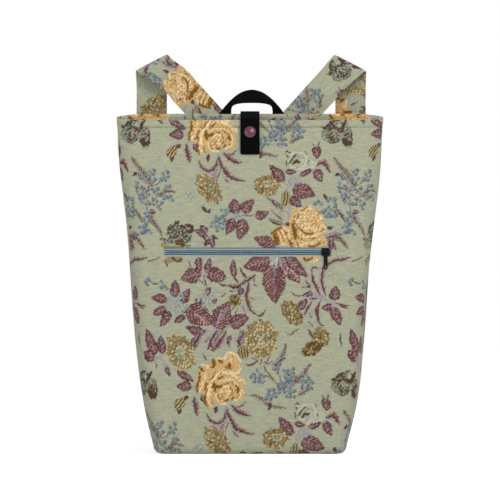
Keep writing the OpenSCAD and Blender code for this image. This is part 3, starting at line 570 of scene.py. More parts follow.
def budMarks(x, y, half, wide):
    inside = (1 - np.hypot(x / half, y / wide)) * wide
    stripe = np.cos(y * 2 * math.pi / motifSize["stripePitch"] + 0.4 * np.sin(x * 1.3))
    spots = np.sin(x * 2.1) * np.sin(y * 1.7 + 1)
    return {
        "olive": inside,
        "straw": np.minimum(inside - 0.4, stripe * 1.1 + spots * 0.4 - 0.4),
        "umber": np.minimum(inside + 0.1, -stripe * 1.1 - spots * 0.4 + 0.05)}


def berryMarks(x, y, size, kind):
    far = np.hypot(x, y)
    return {
        "teal" if kind % 3 == 0 else "blue": size - far,
        "night": np.minimum(size + 0.2 - far, (x + 1.3 * y) * 0.6 - 0.55 * size)}


def sprigMarks(x, y, radius):
    # a loose sprig of pale and blue-green flecks
    inside = (radius - np.hypot(x, y)) * 0.6
    mottle = patchy(x * 1.1, y * 0.9, radius)
    rays = np.cos(np.arctan2(y, x) * 5 + radius)
    return {
        "chalk": np.minimum(inside, 1.5 * mottle + 0.5 * rays - 0.8),
        "teal": np.minimum(inside, -1.6 * mottle + 0.4 * rays - 0.25),
        "lilac": np.minimum(inside + 0.5, rays + mottle - 0.7)}


def drawChart(u, v):
    # every motif and its repeats that reach the spots, each thread keeping its strongest mark
    blank = motifSize["blank"]
    marks = {thread: np.full(u.shape, blank) for thread in threadOrder}
    sway = u + 0.35 * np.sin(v * 0.43) + 0.25 * np.sin(v * 1.1 + u * 0.2)
    dip = v + 0.35 * np.sin(u * 0.47 + 1) + 0.25 * np.sin(u * 1.2 - v * 0.15)

    def stamp(x, y, reach, angle, painter, *values):
        for down in range(-3, 4):
            cy = y + down * repeatDown[1]
            if cy < dip.min() - reach or cy > dip.max() + reach:
                continue
            for across in range(-4, 5):
                cx = x + across * repeatAcross + down * repeatDown[0]
                close = np.flatnonzero((np.abs(sway - cx) < reach) & (np.abs(dip - cy) < reach))
                if close.size:
                    px, py = turned(sway[close] - cx, dip[close] - cy, angle)
                    for thread, mark in painter(px, py, *values).items():
                        marks[thread][close] = np.maximum(marks[thread][close], mark)

    def stampLine(painter, points, width, thread):
        cx = sum(p[0] for p in points) / len(points)
        cy = sum(p[1] for p in points) / len(points)
        line = [(p[0] - cx, p[1] - cy) for p in points]
        line = rounded(line) if len(line) > 1 else [(0, 0), (0.1, 0)]
        stamp(cx, cy, max(math.hypot(*p) for p in line) + width / 2 + 2, 0, painter, line, width, thread)

    def stampLines(painter, chart):
        for thread, lines in chart.items():
            for width, *points in lines:
                stampLine(painter, points, width, thread)

    size = motifSize
    for x, y, length, width, angle in leafChart:
        stamp(x, y, length * 0.75, angle, leafMarks, length * size["leafLength"], width * size["leafWidth"])
    for thread, lines in stemChart.items():
        for points in lines:
            stampLine(strokeMarks, points, size["stem"], thread)
    stampLines(bladeMarks, bladeChart)
    stampLines(fernMarks, {"plum": fernChart})
    for points in sprayStems:
        stampLine(strokeMarks, points, size["sprayStem"], "plum")
    berries = list(sprayChart)
    for x, y, radius in berryChart:
        count = max(3, round(radius * radius / size["berryRoom"]))
        for k in range(count):
            far = size["berrySpread"] * radius * math.sqrt((k + 0.4) / count)
            berries.append((x + far * math.cos(k * 2.4 + x), y + far * math.sin(k * 2.4 + x)))
    for k, (x, y) in enumerate(berries):
        stamp(x, y, 4, 0, berryMarks, size["berry"] + size["berryVaries"] * math.sin(k * 2.1), k)
    for strokes in (roseStrokes, doubleRoseStrokes, tulipStrokes, whiteRoseStrokes):
        stampLines(strokeMarks, strokes)
    for x, y, radius in fluffChart:
        stamp(x, y, radius * 1.25, 0, fluffMarks, radius)
    for x, y, across, along, angle, tone, grey in carnationChart:
        stamp(x, y, max(across, along) * 1.2, angle, carnationMarks, across, along, tone, grey)
    for x, y, half, wide, angle in budChart:
        stamp(x, y, half * 1.2, angle, budMarks, half, wide)
    for x, y, radius in sprigChart:
        stamp(x, y, radius + 2, 0, sprigMarks, radius)
    return {thread: np.clip(mark, blank, -blank) for thread, mark in marks.items()}


# Shader tools
def addNode(tree, kind, **settings):
    node = tree.nodes.new(kind)
    for name, value in settings.items():
        setattr(node, name, value)
    return node


def feed(tree, socket, value):
    if isinstance(value, bpy.types.NodeSocket):
        tree.links.new(value, socket)
    else:
        socket.default_value = value


def calc(tree, operation, *values):
    node = addNode(tree, "ShaderNodeMath", operation=operation)
    for socket, value in zip(node.inputs, values):
        feed(tree, socket, value)
    return node.outputs[0]


def stretch(tree, vector, scale):
    node = addNode(tree, "ShaderNodeVectorMath", operation="MULTIPLY")
    feed(tree, node.inputs[0], vector)
    node.inputs[1].default_value = scale
    return node.outputs[0]


def noise(tree, vector, scale, detail=2.0):
    node = addNode(tree, "ShaderNodeTexNoise")
    feed(tree, node.inputs["Vector"], vector)
    node.inputs["Scale"].default_value = scale
    node.inputs["Detail"].default_value = detail
    return node.outputs["Fac"]


def spread(tree, value, low, high, toLow=0.0, toHigh=1.0, kind="LINEAR"):
    node = addNode(tree, "ShaderNodeMapRange", interpolation_type=kind)
    feed(tree, node.inputs["Value"], value)
    for name, number in zip(("From Min", "From Max", "To Min", "To Max"), (low, high, toLow, toHigh)):
        node.inputs[name].default_value = number
    return node.outputs[0]


def mixColor(tree, share, under, over):
    node = addNode(tree, "ShaderNodeMix", data_type="RGBA")
    feed(tree, node.inputs["Factor"], share)
    feed(tree, node.inputs["A"], under)
    feed(tree, node.inputs["B"], over)
    return node.outputs["Result"]


def newGroup(name, inputs, outputs):
    group = bpy.data.node_groups.new(name, "ShaderNodeTree")
    for label, kind in inputs:
        group.interface.new_socket(label, in_out="INPUT", socket_type="NodeSocket" + kind)
    for label, kind in outputs:
        group.interface.new_socket(label, in_out="OUTPUT", socket_type="NodeSocket" + kind)
    return group, group.nodes.new("NodeGroupInput"), group.nodes.new("NodeGroupOutput")


def useGroup(tree, group, **values):
    node = addNode(tree, "ShaderNodeGroup", node_tree=group)
    for name, value in values.items():
        feed(tree, node.inputs[name], value)
    return node


def newMaterial(name, roughness, specular=0.3, sheen=0.0):
    material = bpy.data.materials.new(name)
    material.use_nodes = True
    shader = material.node_tree.nodes["Principled BSDF"]
    shader.inputs["Roughness"].default_value = roughness
    shader.inputs["Specular IOR Level"].default_value = specular
    shader.inputs["Sheen Weight"].default_value = sheen
    return material, material.node_tree, shader


def bump(tree, shader, height, strength, distance):
    node = addNode(tree, "ShaderNodeBump")
    node.inputs["Strength"].default_value = strength
    node.inputs["Distance"].default_value = distance
    feed(tree, node.inputs["Height"], height)
    feed(tree, shader.inputs["Normal"], node.outputs["Normal"])


# the weave: a number for each crossing of the threads, slubs along the weft, and the ridges of the threads
weaveSize = {
    "warp": 0.78, "weft": 0.62, "slubLength": 15, "slubHeight": 1.05, "weftRidge": 0.3, "warpRidge": 0.2,
    "fuzz": 0.5}


def makeWeaveGroup():
    group, given, result = newGroup(
        "clothWeave", [("Cloth", "Vector")],
        [("Crossing", "Float"), ("Tint", "Float"), ("Slub", "Float"), ("Ridge", "Float")])
    size = weaveSize
    inMm = stretch(group, given.outputs["Cloth"], (1000, 1000, 0))
    threads = stretch(group, inMm, (1 / size["warp"], 1 / size["weft"], 0))
    cells = addNode(group, "ShaderNodeVectorMath", operation="FLOOR")
    feed(group, cells.inputs[0], threads)
    white = addNode(group, "ShaderNodeTexWhiteNoise", noise_dimensions="2D")
    feed(group, white.inputs["Vector"], cells.outputs[0])
    split = addNode(group, "ShaderNodeSeparateColor")
    feed(group, split.inputs[0], white.outputs["Color"])
    slubs = stretch(group, inMm, (1 / size["slubLength"], 1 / size["slubHeight"], 0))
    parts = addNode(group, "ShaderNodeSeparateXYZ")
    feed(group, parts.inputs[0], threads)
    warp = calc(group, "SINE", calc(group, "MULTIPLY", parts.outputs["X"], 2 * math.pi))
    weft = calc(group, "SINE", calc(group, "MULTIPLY", parts.outputs["Y"], 2 * math.pi))
    ridge = calc(group, "ADD", calc(group, "MULTIPLY", weft, size["weftRidge"]),
                 calc(group, "MULTIPLY", warp, size["warpRidge"]))
    ridge = calc(group, "ADD", ridge, calc(group, "MULTIPLY", split.outputs["Green"], size["fuzz"]))
    feed(group, result.inputs["Crossing"], split.outputs["Red"])
    feed(group, result.inputs["Tint"], split.outputs["Blue"])
    feed(group, result.inputs["Slub"], noise(group, slubs, 1.0, 3.0))
    feed(group, result.inputs["Ridge"], ridge)
    return group


threadWander = 1.1  # chart squares over which a motif's edge breaks up into single crossings


def makeThreadGroup():
    group, given, result = newGroup(
        "threadOver",
        [("Under", "Color"), ("Mark", "Float"), ("Crossing", "Float"), ("Tint", "Float"), ("Thread", "Color")],
        [("Over", "Color"), ("Shown", "Float")])
    wander = calc(group, "MULTIPLY", calc(group, "SUBTRACT", given.outputs["Crossing"], 0.5), threadWander)
    shown = spread(group, calc(group, "ADD", given.outputs["Mark"], wander), -0.2, 0.3)
    shade = spread(group, given.outputs["Tint"], 0.0, 1.0, 0.78, 1.2)
    dyed = addNode(group, "ShaderNodeVectorMath", operation="SCALE")
    feed(group, dyed.inputs[0], given.outputs["Thread"])
    feed(group, dyed.inputs["Scale"], shade)
    feed(group, result.inputs["Over"], mixColor(group, shown, given.outputs["Under"], dyed.outputs[0]))
    feed(group, result.inputs["Shown"], shown)
    return group


weaveGroup = makeWeaveGroup()
threadGroup = makeThreadGroup()

tapestryLook = {
    "ground": linear(171, 175, 149), "groundCool": linear(157, 157, 145), "groundWarm": linear(185, 188, 146),
    "groundPale": linear(198, 196, 180),
    "mint": linear(150, 166, 149), "brown": linear(84, 58, 46), "plum": linear(102, 64, 68),
    "rust": linear(140, 100, 86), "pink": linear(200, 166, 158), "lilac": linear(166, 148, 160),
    "blue": linear(112, 128, 144), "teal": linear(128, 147, 148), "night": linear(66, 42, 58),
    "olive": linear(153, 138, 96), "straw": linear(208, 188, 142), "umber": linear(94, 70, 34),
    "gold": linear(214, 176, 116), "cream": linear(245, 219, 174), "ochre": linear(128, 87, 27),
    "chalk": linear(200, 198, 184), "roughness": 0.88, "gleam": 0.2, "sheen": 0.12, "raise": 0.4, "bump": 0.35,
    "bumpDepth": 0.0004}


def makeTapestry():
    look = tapestryLook
    material, tree, shader = newMaterial("tapestry", look["roughness"], look["gleam"], look["sheen"])
    uv = addNode(tree, "ShaderNodeUVMap", uv_map="cloth")
    weave = useGroup(tree, weaveGroup, Cloth=uv.outputs[0])
    crossing, tint = weave.outputs["Crossing"], weave.outputs["Tint"]
    slub = weave.outputs["Slub"]
    color = mixColor(tree, spread(tree, slub, 0.43, 0.57), look["groundCool"], look["groundWarm"])
    color = mixColor(tree, spread(tree, tint, 0.0, 1.0, 0.1, 0.5), color, look["ground"])
    color = mixColor(tree, spread(tree, crossing, 0.7, 1.0, 0, 0.7), color, look["groundPale"])
    speck = addNode(tree, "ShaderNodeVectorMath", operation="SCALE")
    feed(tree, speck.inputs[0], color)
    feed(tree, speck.inputs["Scale"], spread(tree, tint, 0.0, 1.0, 0.9, 1.08))
    color = speck.outputs[0]
    raised = None
    for number, names in enumerate(threadSets):
        store = addNode(tree, "ShaderNodeAttribute", attribute_name="threads%d" % number)
        split = addNode(tree, "ShaderNodeSeparateColor")
        feed(tree, split.inputs[0], store.outputs["Color"])
        sockets = [split.outputs["Red"], split.outputs["Green"], split.outputs["Blue"], store.outputs["Alpha"]]
        for thread, mark in zip(names, sockets):
            over = useGroup(tree, threadGroup, Under=color, Mark=mark, Crossing=crossing, Tint=tint,
                            Thread=look[thread])
            color = over.outputs["Over"]
            shown = over.outputs["Shown"]
            raised = shown if raised is None else calc(tree, "MAXIMUM", raised, shown)
    feed(tree, shader.inputs["Base Color"], color)
    height = calc(tree, "ADD", weave.outputs["Ridge"], calc(tree, "MULTIPLY", raised, look["raise"]))
    bump(tree, shader, height, look["bump"], look["bumpDepth"])
    return material


tapestry = makeTapestry()


# ribs along a strip and picks across it, for webbing, tape and plain cotton
def makeRibGroup():
    group, given, result = newGroup(
        "ribWeave", [("Cloth", "Vector"), ("Ribs", "Float"), ("Picks", "Float")],
        [("Height", "Float"), ("Shade", "Float")])
    parts = addNode(group, "ShaderNodeSeparateXYZ")
    feed(group, parts.inputs[0], given.outputs["Cloth"])
    across = calc(group, "MULTIPLY", parts.outputs["X"], given.outputs["Ribs"])
    rib = calc(group, "FLOOR", across)
    along = calc(group, "ADD", calc(group, "MULTIPLY", parts.outputs["Y"], given.outputs["Picks"]),
                 calc(group, "MULTIPLY", rib, 0.5))
    crest = calc(group, "ABSOLUTE", calc(group, "SINE", calc(group, "MULTIPLY", across, math.pi)))
    knuckle = calc(group, "ABSOLUTE", calc(group, "SINE", calc(group, "MULTIPLY", along, math.pi)))
    feed(group, result.inputs["Height"], calc(group, "ADD", calc(group, "MULTIPLY", crest, 0.55),
                                              calc(group, "MULTIPLY", knuckle, 0.45)))
    cell = addNode(group, "ShaderNodeCombineXYZ")
    feed(group, cell.inputs["X"], rib)
    feed(group, cell.inputs["Y"], calc(group, "FLOOR", along))
    white = addNode(group, "ShaderNodeTexWhiteNoise", noise_dimensions="2D")
    feed(group, white.inputs["Vector"], cell.outputs[0])
    feed(group, result.inputs["Shade"], white.outputs["Value"])
    return group


ribGroup = makeRibGroup()

wovenLook = {
    "webbing": {
        "dark": linear(2, 4, 3), "light": linear(12, 16, 14), "ribs": 800.0, "picks": 1000.0, "bump": 0.5,
        "gleam": 0.03},
    "cotton": {
        "dark": linear(118, 114, 98), "light": linear(146, 141, 122), "ribs": 1500.0, "picks": 1500.0,
        "bump": 0.25, "gleam": 0.2}}


def makeWoven(name):
    look = wovenLook[name]
    material, tree, shader = newMaterial(name, 0.8, look["gleam"])
    uv = addNode(tree, "ShaderNodeUVMap", uv_map="cloth")
    ribs = useGroup(tree, ribGroup, Cloth=uv.outputs[0], Ribs=look["ribs"], Picks=look["picks"])
    # the colour follows the rib's height, so the grooves between ribs are darker as painted shade; each rib's
    # own tone also differs at random
    tone = calc(tree, "MULTIPLY", ribs.outputs["Height"], spread(tree, ribs.outputs["Shade"], 0, 1, 0.55, 1.0))
    feed(tree, shader.inputs["Base Color"], mixColor(tree, tone, look["dark"], look["light"]))
    feed(tree, shader.inputs["Roughness"], spread(tree, ribs.outputs["Shade"], 0, 1, 0.72, 0.9))
    bump(tree, shader, ribs.outputs["Height"], look["bump"], 0.0003)
    return material


# the colour "line" is painted shade: a dark line beside the coil, and a darkening under the window's turned-in
# edge
tapeLook = {
    "tape": linear(142, 166, 177), "pale": linear(170, 192, 200), "line": linear(48, 66, 76), "coilShadeAt": 0.0027,
    "coilShadeFade": (0.0007, 0.0003), "windowShadeFade": (0.0052, 0.0060), "windowShadeShare": 0.35, "ribs": 1400.0,
    "picks": 1000.0}


def makeTapeFinish():
    look = tapeLook
    material, tree, shader = newMaterial("zipTape", 0.75, 0.25)
    uv = addNode(tree, "ShaderNodeUVMap", uv_map="cloth")
    ribs = useGroup(tree, ribGroup, Cloth=uv.outputs[0], Ribs=look["ribs"], Picks=look["picks"])
    parts = addNode(tree, "ShaderNodeSeparateXYZ")
    feed(tree, parts.inputs[0], uv.outputs[0])
    away = calc(tree, "ABSOLUTE", parts.outputs["Y"])
    color = mixColor(tree, ribs.outputs["Shade"], look["tape"], look["pale"])
    # a dark line on the tape beside each row of coil: painted shade of the coil
    fromLine = calc(tree, "ABSOLUTE", calc(tree, "SUBTRACT", away, look["coilShadeAt"]))
    coilSideShade = spread(tree, fromLine, *look["coilShadeFade"])
    color = mixColor(tree, coilSideShade, color, look["line"])
    # the tape darkens towards the window's edge: painted shade under the turned-in cloth
    edge = spread(tree, away, *look["windowShadeFade"], 0, look["windowShadeShare"])
    color = mixColor(tree, edge, color, look["line"])
    feed(tree, shader.inputs["Base Color"], color)
    feed(tree, shader.inputs["Roughness"], spread(tree, ribs.outputs["Shade"], 0, 1, 0.62, 0.85))
    bump(tree, shader, ribs.outputs["Height"], 0.4, 0.0002)
    return material


hardLook = {
    "zipCoil": {
        "low": linear(118, 142, 152), "high": linear(158, 180, 188), "roughness": (0.35, 0.5), "scale": 900},
    "blackEnamel": {
        "low": linear(3, 4, 4), "high": linear(12, 13, 14), "roughness": (0.42, 0.58), "scale": 500,
        "gleam": 0.1, "coat": 0.05},
    "plumEnamel": {
        "low": linear(78, 18, 40), "high": linear(108, 38, 62), "roughness": (0.22, 0.34), "scale": 220,
        "gleam": 0.3, "coat": 0.45},
    "steel": {
        "low": linear(150, 152, 155), "high": linear(196, 198, 200), "roughness": (0.28, 0.45), "scale": 700,
        "metal": 1.0},
    "thread": {
        "low": linear(138, 134, 110), "high": linear(178, 174, 148), "roughness": (0.7, 0.9), "scale": 900}}


def makeHard(name):
    look = hardLook[name]
    material, tree, shader = newMaterial(name, look["roughness"][0], look.get("gleam", 0.5))
    shader.inputs["Metallic"].default_value = look.get("metal", 0.0)
    shader.inputs["Coat Weight"].default_value = look.get("coat", 0.0)
    shader.inputs["Coat Roughness"].default_value = 0.12
    spot = addNode(tree, "ShaderNodeTexCoord").outputs["Object"]
    fine = noise(tree, spot, look["scale"], 4.0)
    broad = noise(tree, spot, look["scale"] * 0.23, 2.0)
    tone = spread(tree, broad, 0.3, 0.7)
    feed(tree, shader.inputs["Base Color"], mixColor(tree, tone, look["low"], look["high"]))
    feed(tree, shader.inputs["Roughness"], spread(tree, fine, 0.3, 0.7, *look["roughness"]))
    bump(tree, shader, fine, 0.12, 0.0002)
    return material


webbing = makeWoven("webbing")
cotton = makeWoven("cotton")
zipTape = makeTapeFinish()
zipCoil = makeHard("zipCoil")
blackEnamel = makeHard("blackEnamel")
plumEnamel = makeHard("plumEnamel")
steel = makeHard("steel")
sewingThread = makeHard("thread")
print("tapestry chart and finishes ready")

# The bag's form, the same as its solids
bagSize = {
    "topWidth": 350.0, "baseWidth": 247.0, "height": 436.0, "baseDepth": 105.0, "mouthDepth": 30.0,
    "panel": 2.4, "swell": 18.0, "brim": 7.0, "belly": 1.5, "fold": 10.0, "frontDip": 3.5, "backRise": 5.5,
    "rimStart": 60.0, "cornerBase": 19.0, "cornerTop": 44.0, "squareBase": 3.2, "squareTop": 2.0}
backY = bagSize["baseDepth"] / 2


def widthAt(h):
    t = h / bagSize["height"]
    swell = bagSize["swell"] * np.sin(math.pi * np.sqrt(t)) ** 3 \
        + bagSize["brim"] * np.sin(math.pi * t ** 4) ** 2
    return lerp(bagSize["baseWidth"], bagSize["topWidth"], t) + swell


def depthAt(h):
    return lerp(bagSize["baseDepth"], bagSize["mouthDepth"], (h / bagSize["height"]) ** bagSize["belly"])


def cornerAt(h):
    return lerp(bagSize["cornerBase"], bagSize["cornerTop"], h / bagSize["height"])


def rimAt(h, side):
    # how far the middle of the front sinks, and of the back rises, towards the rim
    step = -bagSize["frontDip"] if side < 0 else bagSize["backRise"]
    return step * np.maximum(0, h - bagSize["rimStart"]) / (bagSize["height"] - bagSize["rimStart"])


def seamAt(h):
    return backY - depthAt(h) / 2


def frontPoint(h):
    # y and z on the front's flat face
    return np.array([backY - depthAt(h), h + rimAt(h, -1)])


def heightOfZ(z):
    h = z
    for _ in range(20):
        h = z - float(rimAt(h, -1))
    return h


def skinPoints(h, fold, out, side, hand, sweep, across):
    # points of a skin, out millimetres outside the panel; sweep is 0 at the seam, 90 degrees on the flat
    h = np.asarray(h)[:, None]
    fold = np.asarray(fold)[:, None]
    reach = bagSize["fold"] + out
    inset = bagSize["fold"] - reach * np.sin(fold)
    power = 2 / lerp(bagSize["squareBase"], bagSize["squareTop"], h / bagSize["height"])
    rise = np.sin(sweep) ** power
    run = np.clip(np.cos(sweep), 0, 1) ** power
    flat = widthAt(h) / 2 - cornerAt(h)
    x = across * flat + hand * (cornerAt(h) - inset) * run
    y = seamAt(h) + side * (depthAt(h) / 2 - inset) * rise
    z = h - reach * np.cos(fold) + rimAt(h, side) * rise
    return together(x, y, z)


def evenSweep(h, steps):
    # sweep angles that divide the corner at each height into even lengths
    dense = np.linspace(0, math.pi / 2, 91)
    one = np.ones(91)
    table = []
    for level in h:
        corner = skinPoints([level], [math.pi / 2], 0, -1, one, dense, one)[0]
        run = runAlong(corner)
        table.append(np.interp(np.linspace(0, run[-1], steps + 1), run, dense))
    return np.array(table)


def ringColumns(h, cornerSteps, flatStops):
    # hand, sweep and place across for every column of a half ring, left seam to right seam
    sweep = evenSweep(h, cornerSteps)
    flats = len(flatStops)
    hand = np.concatenate([-np.ones(cornerSteps), np.zeros(flats), np.ones(cornerSteps)])
    across = np.concatenate([-np.ones(cornerSteps), flatStops, np.ones(cornerSteps)])
    flatSweep = np.full((len(h), flats), math.pi / 2)
    sweepAll = np.concatenate([sweep[:, :-1], flatSweep, sweep[:, -2::-1]], axis=1)
    return hand, sweepAll, across


def arcAcross(points):
    # length along each row, from the middle column outwards
    step = np.linalg.norm(np.diff(points, axis=1), axis=2)
    run = np.concatenate([np.zeros((len(points), 1)), np.cumsum(step, axis=1)], axis=1)
    return run - run[:, points.shape[1] // 2][:, None]


def middleRun(points):
    # length up the middle column
    return runAlong(points[:, points.shape[1] // 2])


def baseShare(rows, base):
    # the base's rows open from the middle seam to the full depth
    share = np.ones(rows)
    share[:base] = np.linspace(0, 1, base, endpoint=False)
    return share


def closeBase(points, height, share):
    seam = seamAt(height)[:, None]
    points[:, :, 1] = seam + (points[:, :, 1] - seam) * share[:, None]


def bell(value, width):
    return np.exp(-(value / width) ** 2)


def ease(value):
    value = np.clip(value, 0, 1)
    return value * value * (3 - 2 * value)


zipSize = {
    "length": 216.0, "window": 12.0, "x": -3.0, "height": 262.0, "band": 22.0, "tapeEnd": 10.0, "turnIn": 2.3,
    "turnDown": 0.4}
zipLow = frontPoint(zipSize["height"] - zipSize["band"])
zipHigh = frontPoint(zipSize["height"] + zipSize["band"])
zipTilt = math.atan2(*(zipHigh - zipLow))
zipMiddle = (zipLow + zipHigh) / 2


def zipPoints(x, depth, up):
    # a point behind the front's face, from the middle of the zip
    c, s = math.cos(zipTilt), math.sin(zipTilt)
    return together(zipSize["x"] + x, zipMiddle[0] + depth * c + up * s, zipMiddle[1] - depth * s + up * c)


zipWindowUp = zipSize["window"] / 2 * math.cos(zipTilt)
panelMesh = {"cornerSteps": 34, "flatStep": 1.36, "rowStep": 1.42, "baseRows": 30, "foldRows": 8,
    "turnRows": 7}
# the rolled hem: how far it stands out from its seam up to its edge, in puffs, and the rows turned in behind it
hemSize = {
    "high": 10.0, "puff": 0.8, "roll": (-1.4, 0.3, 1.0, 1.45, 1.6, 1.5, 1.25, 0.9, 0.5), "lip": 0.4,
    "turnIn": (4.0, 8.0, 12.0), "seamShare": 0.3, "seamFade": 22.0, "pucker": 0.18}
hemSeam = bagSize["height"] - hemSize["high"]


def panelRows():
    # heights, fold angles, how far out, and the share of the base's depth, for every row of a panel
    size = bagSize
    zipLow, zipHigh = heightOfZ(zipMiddle[1] - zipWindowUp), heightOfZ(zipMiddle[1] + zipWindowUp)
    stops = [size["fold"], zipLow, zipHigh, hemSeam]
    walls = []
    for low, high in zip(stops, stops[1:]):
        count = max(2, round((high - low) / panelMesh["rowStep"]))
        walls.extend(np.linspace(low, high, count, endpoint=False))
    base = panelMesh["baseRows"]
    folds = np.linspace(0, math.pi / 2, panelMesh["foldRows"], endpoint=False)
    hem = np.linspace(0, 1, len(hemSize["roll"]))
    hemOut = hemSize["puff"] * np.array(hemSize["roll"])
    turn = np.linspace(0, math.pi, panelMesh["turnRows"])[1:]
    edge = size["panel"] / 2
    inside = np.array(hemSize["turnIn"])
    height = np.concatenate([
        np.full(base + len(folds), size["fold"]), walls, hemSeam + hem * (hemSize["high"] - edge),
        size["height"] - edge + edge * np.sin(turn), size["height"] - edge - inside])
    out = np.concatenate([
        np.zeros(base + len(folds) + len(walls)), hemOut, hemSize["lip"] - edge + edge * np.cos(turn),
        np.full(len(inside), hemSize["lip"] - 2 * edge)])
    fold = np.concatenate([
        np.zeros(base), folds, np.full(len(height) - base - len(folds), math.pi / 2)])
    return height, fold, out, baseShare(len(height), base)


def panelColumns(h):
    flat = float(widthAt(zipSize["height"]) / 2 - cornerAt(zipSize["height"]))
    left = (zipSize["x"] - zipSize["length"] / 2) / flat
    right = (zipSize["x"] + zipSize["length"] / 2) / flat
    stops = [-1, left, right, 1]
    across = []
    for a, b in zip(stops, stops[1:]):
        count = max(2, round((b - a) * flat / panelMesh["flatStep"]))
        across.extend(np.linspace(a, b, count, endpoint=False))
    return ringColumns(h, panelMesh["cornerSteps"], np.array(across + [1.0]))


def softness(x, z, seed):
    # the slow swells of a lined cloth wall
    return (0.9 * np.sin(x / 61 + z / 97 + seed) * np.sin(z / 83 - seed)
            + 0.6 * np.sin(z / 39 - x / 130 + 2 * seed)
            + 0.4 * np.sin(x / 27 + 0.6 * np.sin(z / 45) + seed))


# where the walls may swell, and what the sewing presses in: depths and widths in millimetres
softSize = {
    "low": 14.0, "lowFade": 40.0, "high": 424.0, "highFade": 30.0, "zipCalm": 10.0, "zipFade": 30.0,
    "zipSeam": 7.0, "zipSeamDent": 0.55, "zipSeamWide": 0.9, "zipEdgeDent": 0.5, "zipEdgeWide": 1.3,
    "backShare": 0.8, "backSink": 0.9, "backLeast": 0.1, "seamDent": 0.4, "seamWide": 2.0}


def panelPoints(side, seed):
    size = softSize
    height, fold, out, share = panelRows()
    hand, sweep, across = panelColumns(height)
    bare = skinPoints(height, fold, 0, side, hand, sweep, across)
    arc = arcAcross(bare)
    fromSeam = np.minimum(arc - arc[:, :1], arc[:, -1:] - arc)
    inHem = ((height > hemSeam - 0.1) & (out > -1.2))[:, None]
    slack = lerp(hemSize["seamShare"], 1, ease(fromSeam / hemSize["seamFade"]))
    out = out[:, None] * np.where(inHem, slack, 1.0)
    plain = skinPoints(height, fold, out, side, hand, sweep, across)
    x, z = plain[:, :, 0], plain[:, :, 2]
    upright = fold > 1.5
    wall = np.where(upright & (height <= hemSeam), 1.0, 0.0)[:, None]
    fade = np.clip((height - size["low"]) / size["lowFade"], 0, 1)[:, None] \
        * np.clip((size["high"] - height) / size["highFade"], 0, 1)[:, None]
    moved = softness(x, z, seed) * fade
    if side < 0:
        dx = np.maximum(0, np.abs(x - zipSize["x"]) - zipSize["length"] / 2)
        dz = np.maximum(0, np.abs(height - zipSize["height"]) - zipSize["window"] / 2)[:, None]
        apart = np.hypot(dx, dz)
        moved = moved * np.clip((apart - size["zipCalm"]) / size["zipFade"], 0, 1)
        moved = moved - size["zipSeamDent"] * bell(apart - size["zipSeam"], size["zipSeamWide"]) \
            - size["zipEdgeDent"] * bell(apart, size["zipEdgeWide"])
    else:
        moved = np.minimum(moved * size["backShare"] - size["backSink"], -size["backLeast"]) * fade
    dent = size["seamDent"] * bell(fromSeam, size["seamWide"])
    moved = moved - dent * (fold > 0.8)[:, None]
    moved = moved * wall - dent * (1 - wall) * upright[:, None]
    pucker = hemSize["pucker"] * np.sin(arc / 1.9 + 2 * np.sin(arc / 17)) * bell(height - hemSeam, 4)[:, None]
    points = skinPoints(height, fold, out + moved + pucker, side, hand, sweep, across)
    closeBase(points, height, share)
    return points, height, fold


def panelChart(points, fold, shift):
    # chart places: along the row for x, and up the middle column for y
    arc = arcAcross(points)
    middle = points[:, points.shape[1] // 2]
    up = runAlong(middle[:, 1:])
    start = np.argmax(fold > 1.5)
    frontZ = middle[:, 2]
    rise = np.where(np.arange(len(up)) <= start, up - up[start] + frontZ[start], frontZ)
    top = np.argmax(frontZ)
    rise = np.where(np.arange(len(up)) > top, frontZ[top] + up - up[top], rise)
    arc = np.where((fold < 1.5)[:, None], arc[start:start + 1], arc)
    return together(
        chartMiddle + shift[0] + arc / chartSquare, (chartBase + shift[1] - rise / chartSquare)[:, None])


def openWindow(piece):
    # the cloth is cut away at the zip and its edges are turned in
    mesh = piece.data
    centres = np.empty(len(mesh.polygons) * 3)
    mesh.polygons.foreach_get("center", centres)
    centres = centres.reshape(-1, 3) / mm
    half = zipSize["length"] / 2
    inWindow = (np.abs(centres[:, 0] - zipSize["x"]) < half) & \
        (np.abs(centres[:, 2] - zipMiddle[1]) < zipWindowUp) & (centres[:, 1] < seamAt(zipSize["height"]))
    pickOnly(piece)
    bpy.ops.object.mode_set(mode="EDIT")
    bpy.ops.mesh.select_mode(type="FACE")
    bpy.ops.mesh.select_all(action="DESELECT")
    bpy.ops.object.mode_set(mode="OBJECT")
    mesh.polygons.foreach_set("select", inWindow)
    bpy.ops.object.mode_set(mode="EDIT")
    bpy.ops.mesh.delete(type="FACE")
    bpy.ops.mesh.select_mode(type="EDGE")
    work = bmesh.from_edit_mesh(mesh)
    for edge in work.edges:
        spot = (edge.verts[0].co + edge.verts[1].co) / 2 / mm
        near = abs(spot.x - zipSize["x"]) < half + 1 and abs(spot.z - zipMiddle[1]) < zipWindowUp + 1
        edge.select_set(edge.is_boundary and near)
    bmesh.update_edit_mesh(mesh)
    turnIn = (0, zipSize["turnIn"] * mm, -zipSize["turnDown"] * mm)
    bpy.ops.mesh.extrude_edges_move(TRANSFORM_OT_translate={"value": turnIn})
    bpy.ops.object.mode_set(mode="OBJECT")


# the lie of each panel's swells, and how far along the chart it is cut
panelSides = {
    "bagFront": {"side": -1, "seed": 0.7, "shift": (0, 0), "node": "front_panel"},
    "bagBack": {"side": 1, "seed": 2.1, "shift": (96.0, 61.0), "node": "back_panel"}}


def makePanel(name, side, seed, shift, node):
    points, _, fold = panelPoints(side, seed)
    if side > 0:
        points = points[:, ::-1]
    piece, row, col = gridPiece(name, points)
    setCloth(piece, row, col, panelChart(points, fold, shift))
    mergeDoubles(piece)
    if side < 0:
        openWindow(piece)
    smooth(piece, 60)
    dress(piece, tapestry, nodes=[node])
    print(name, len(piece.data.polygons), "faces")


for name, panel in panelSides.items():
    makePanel(name, **panel)

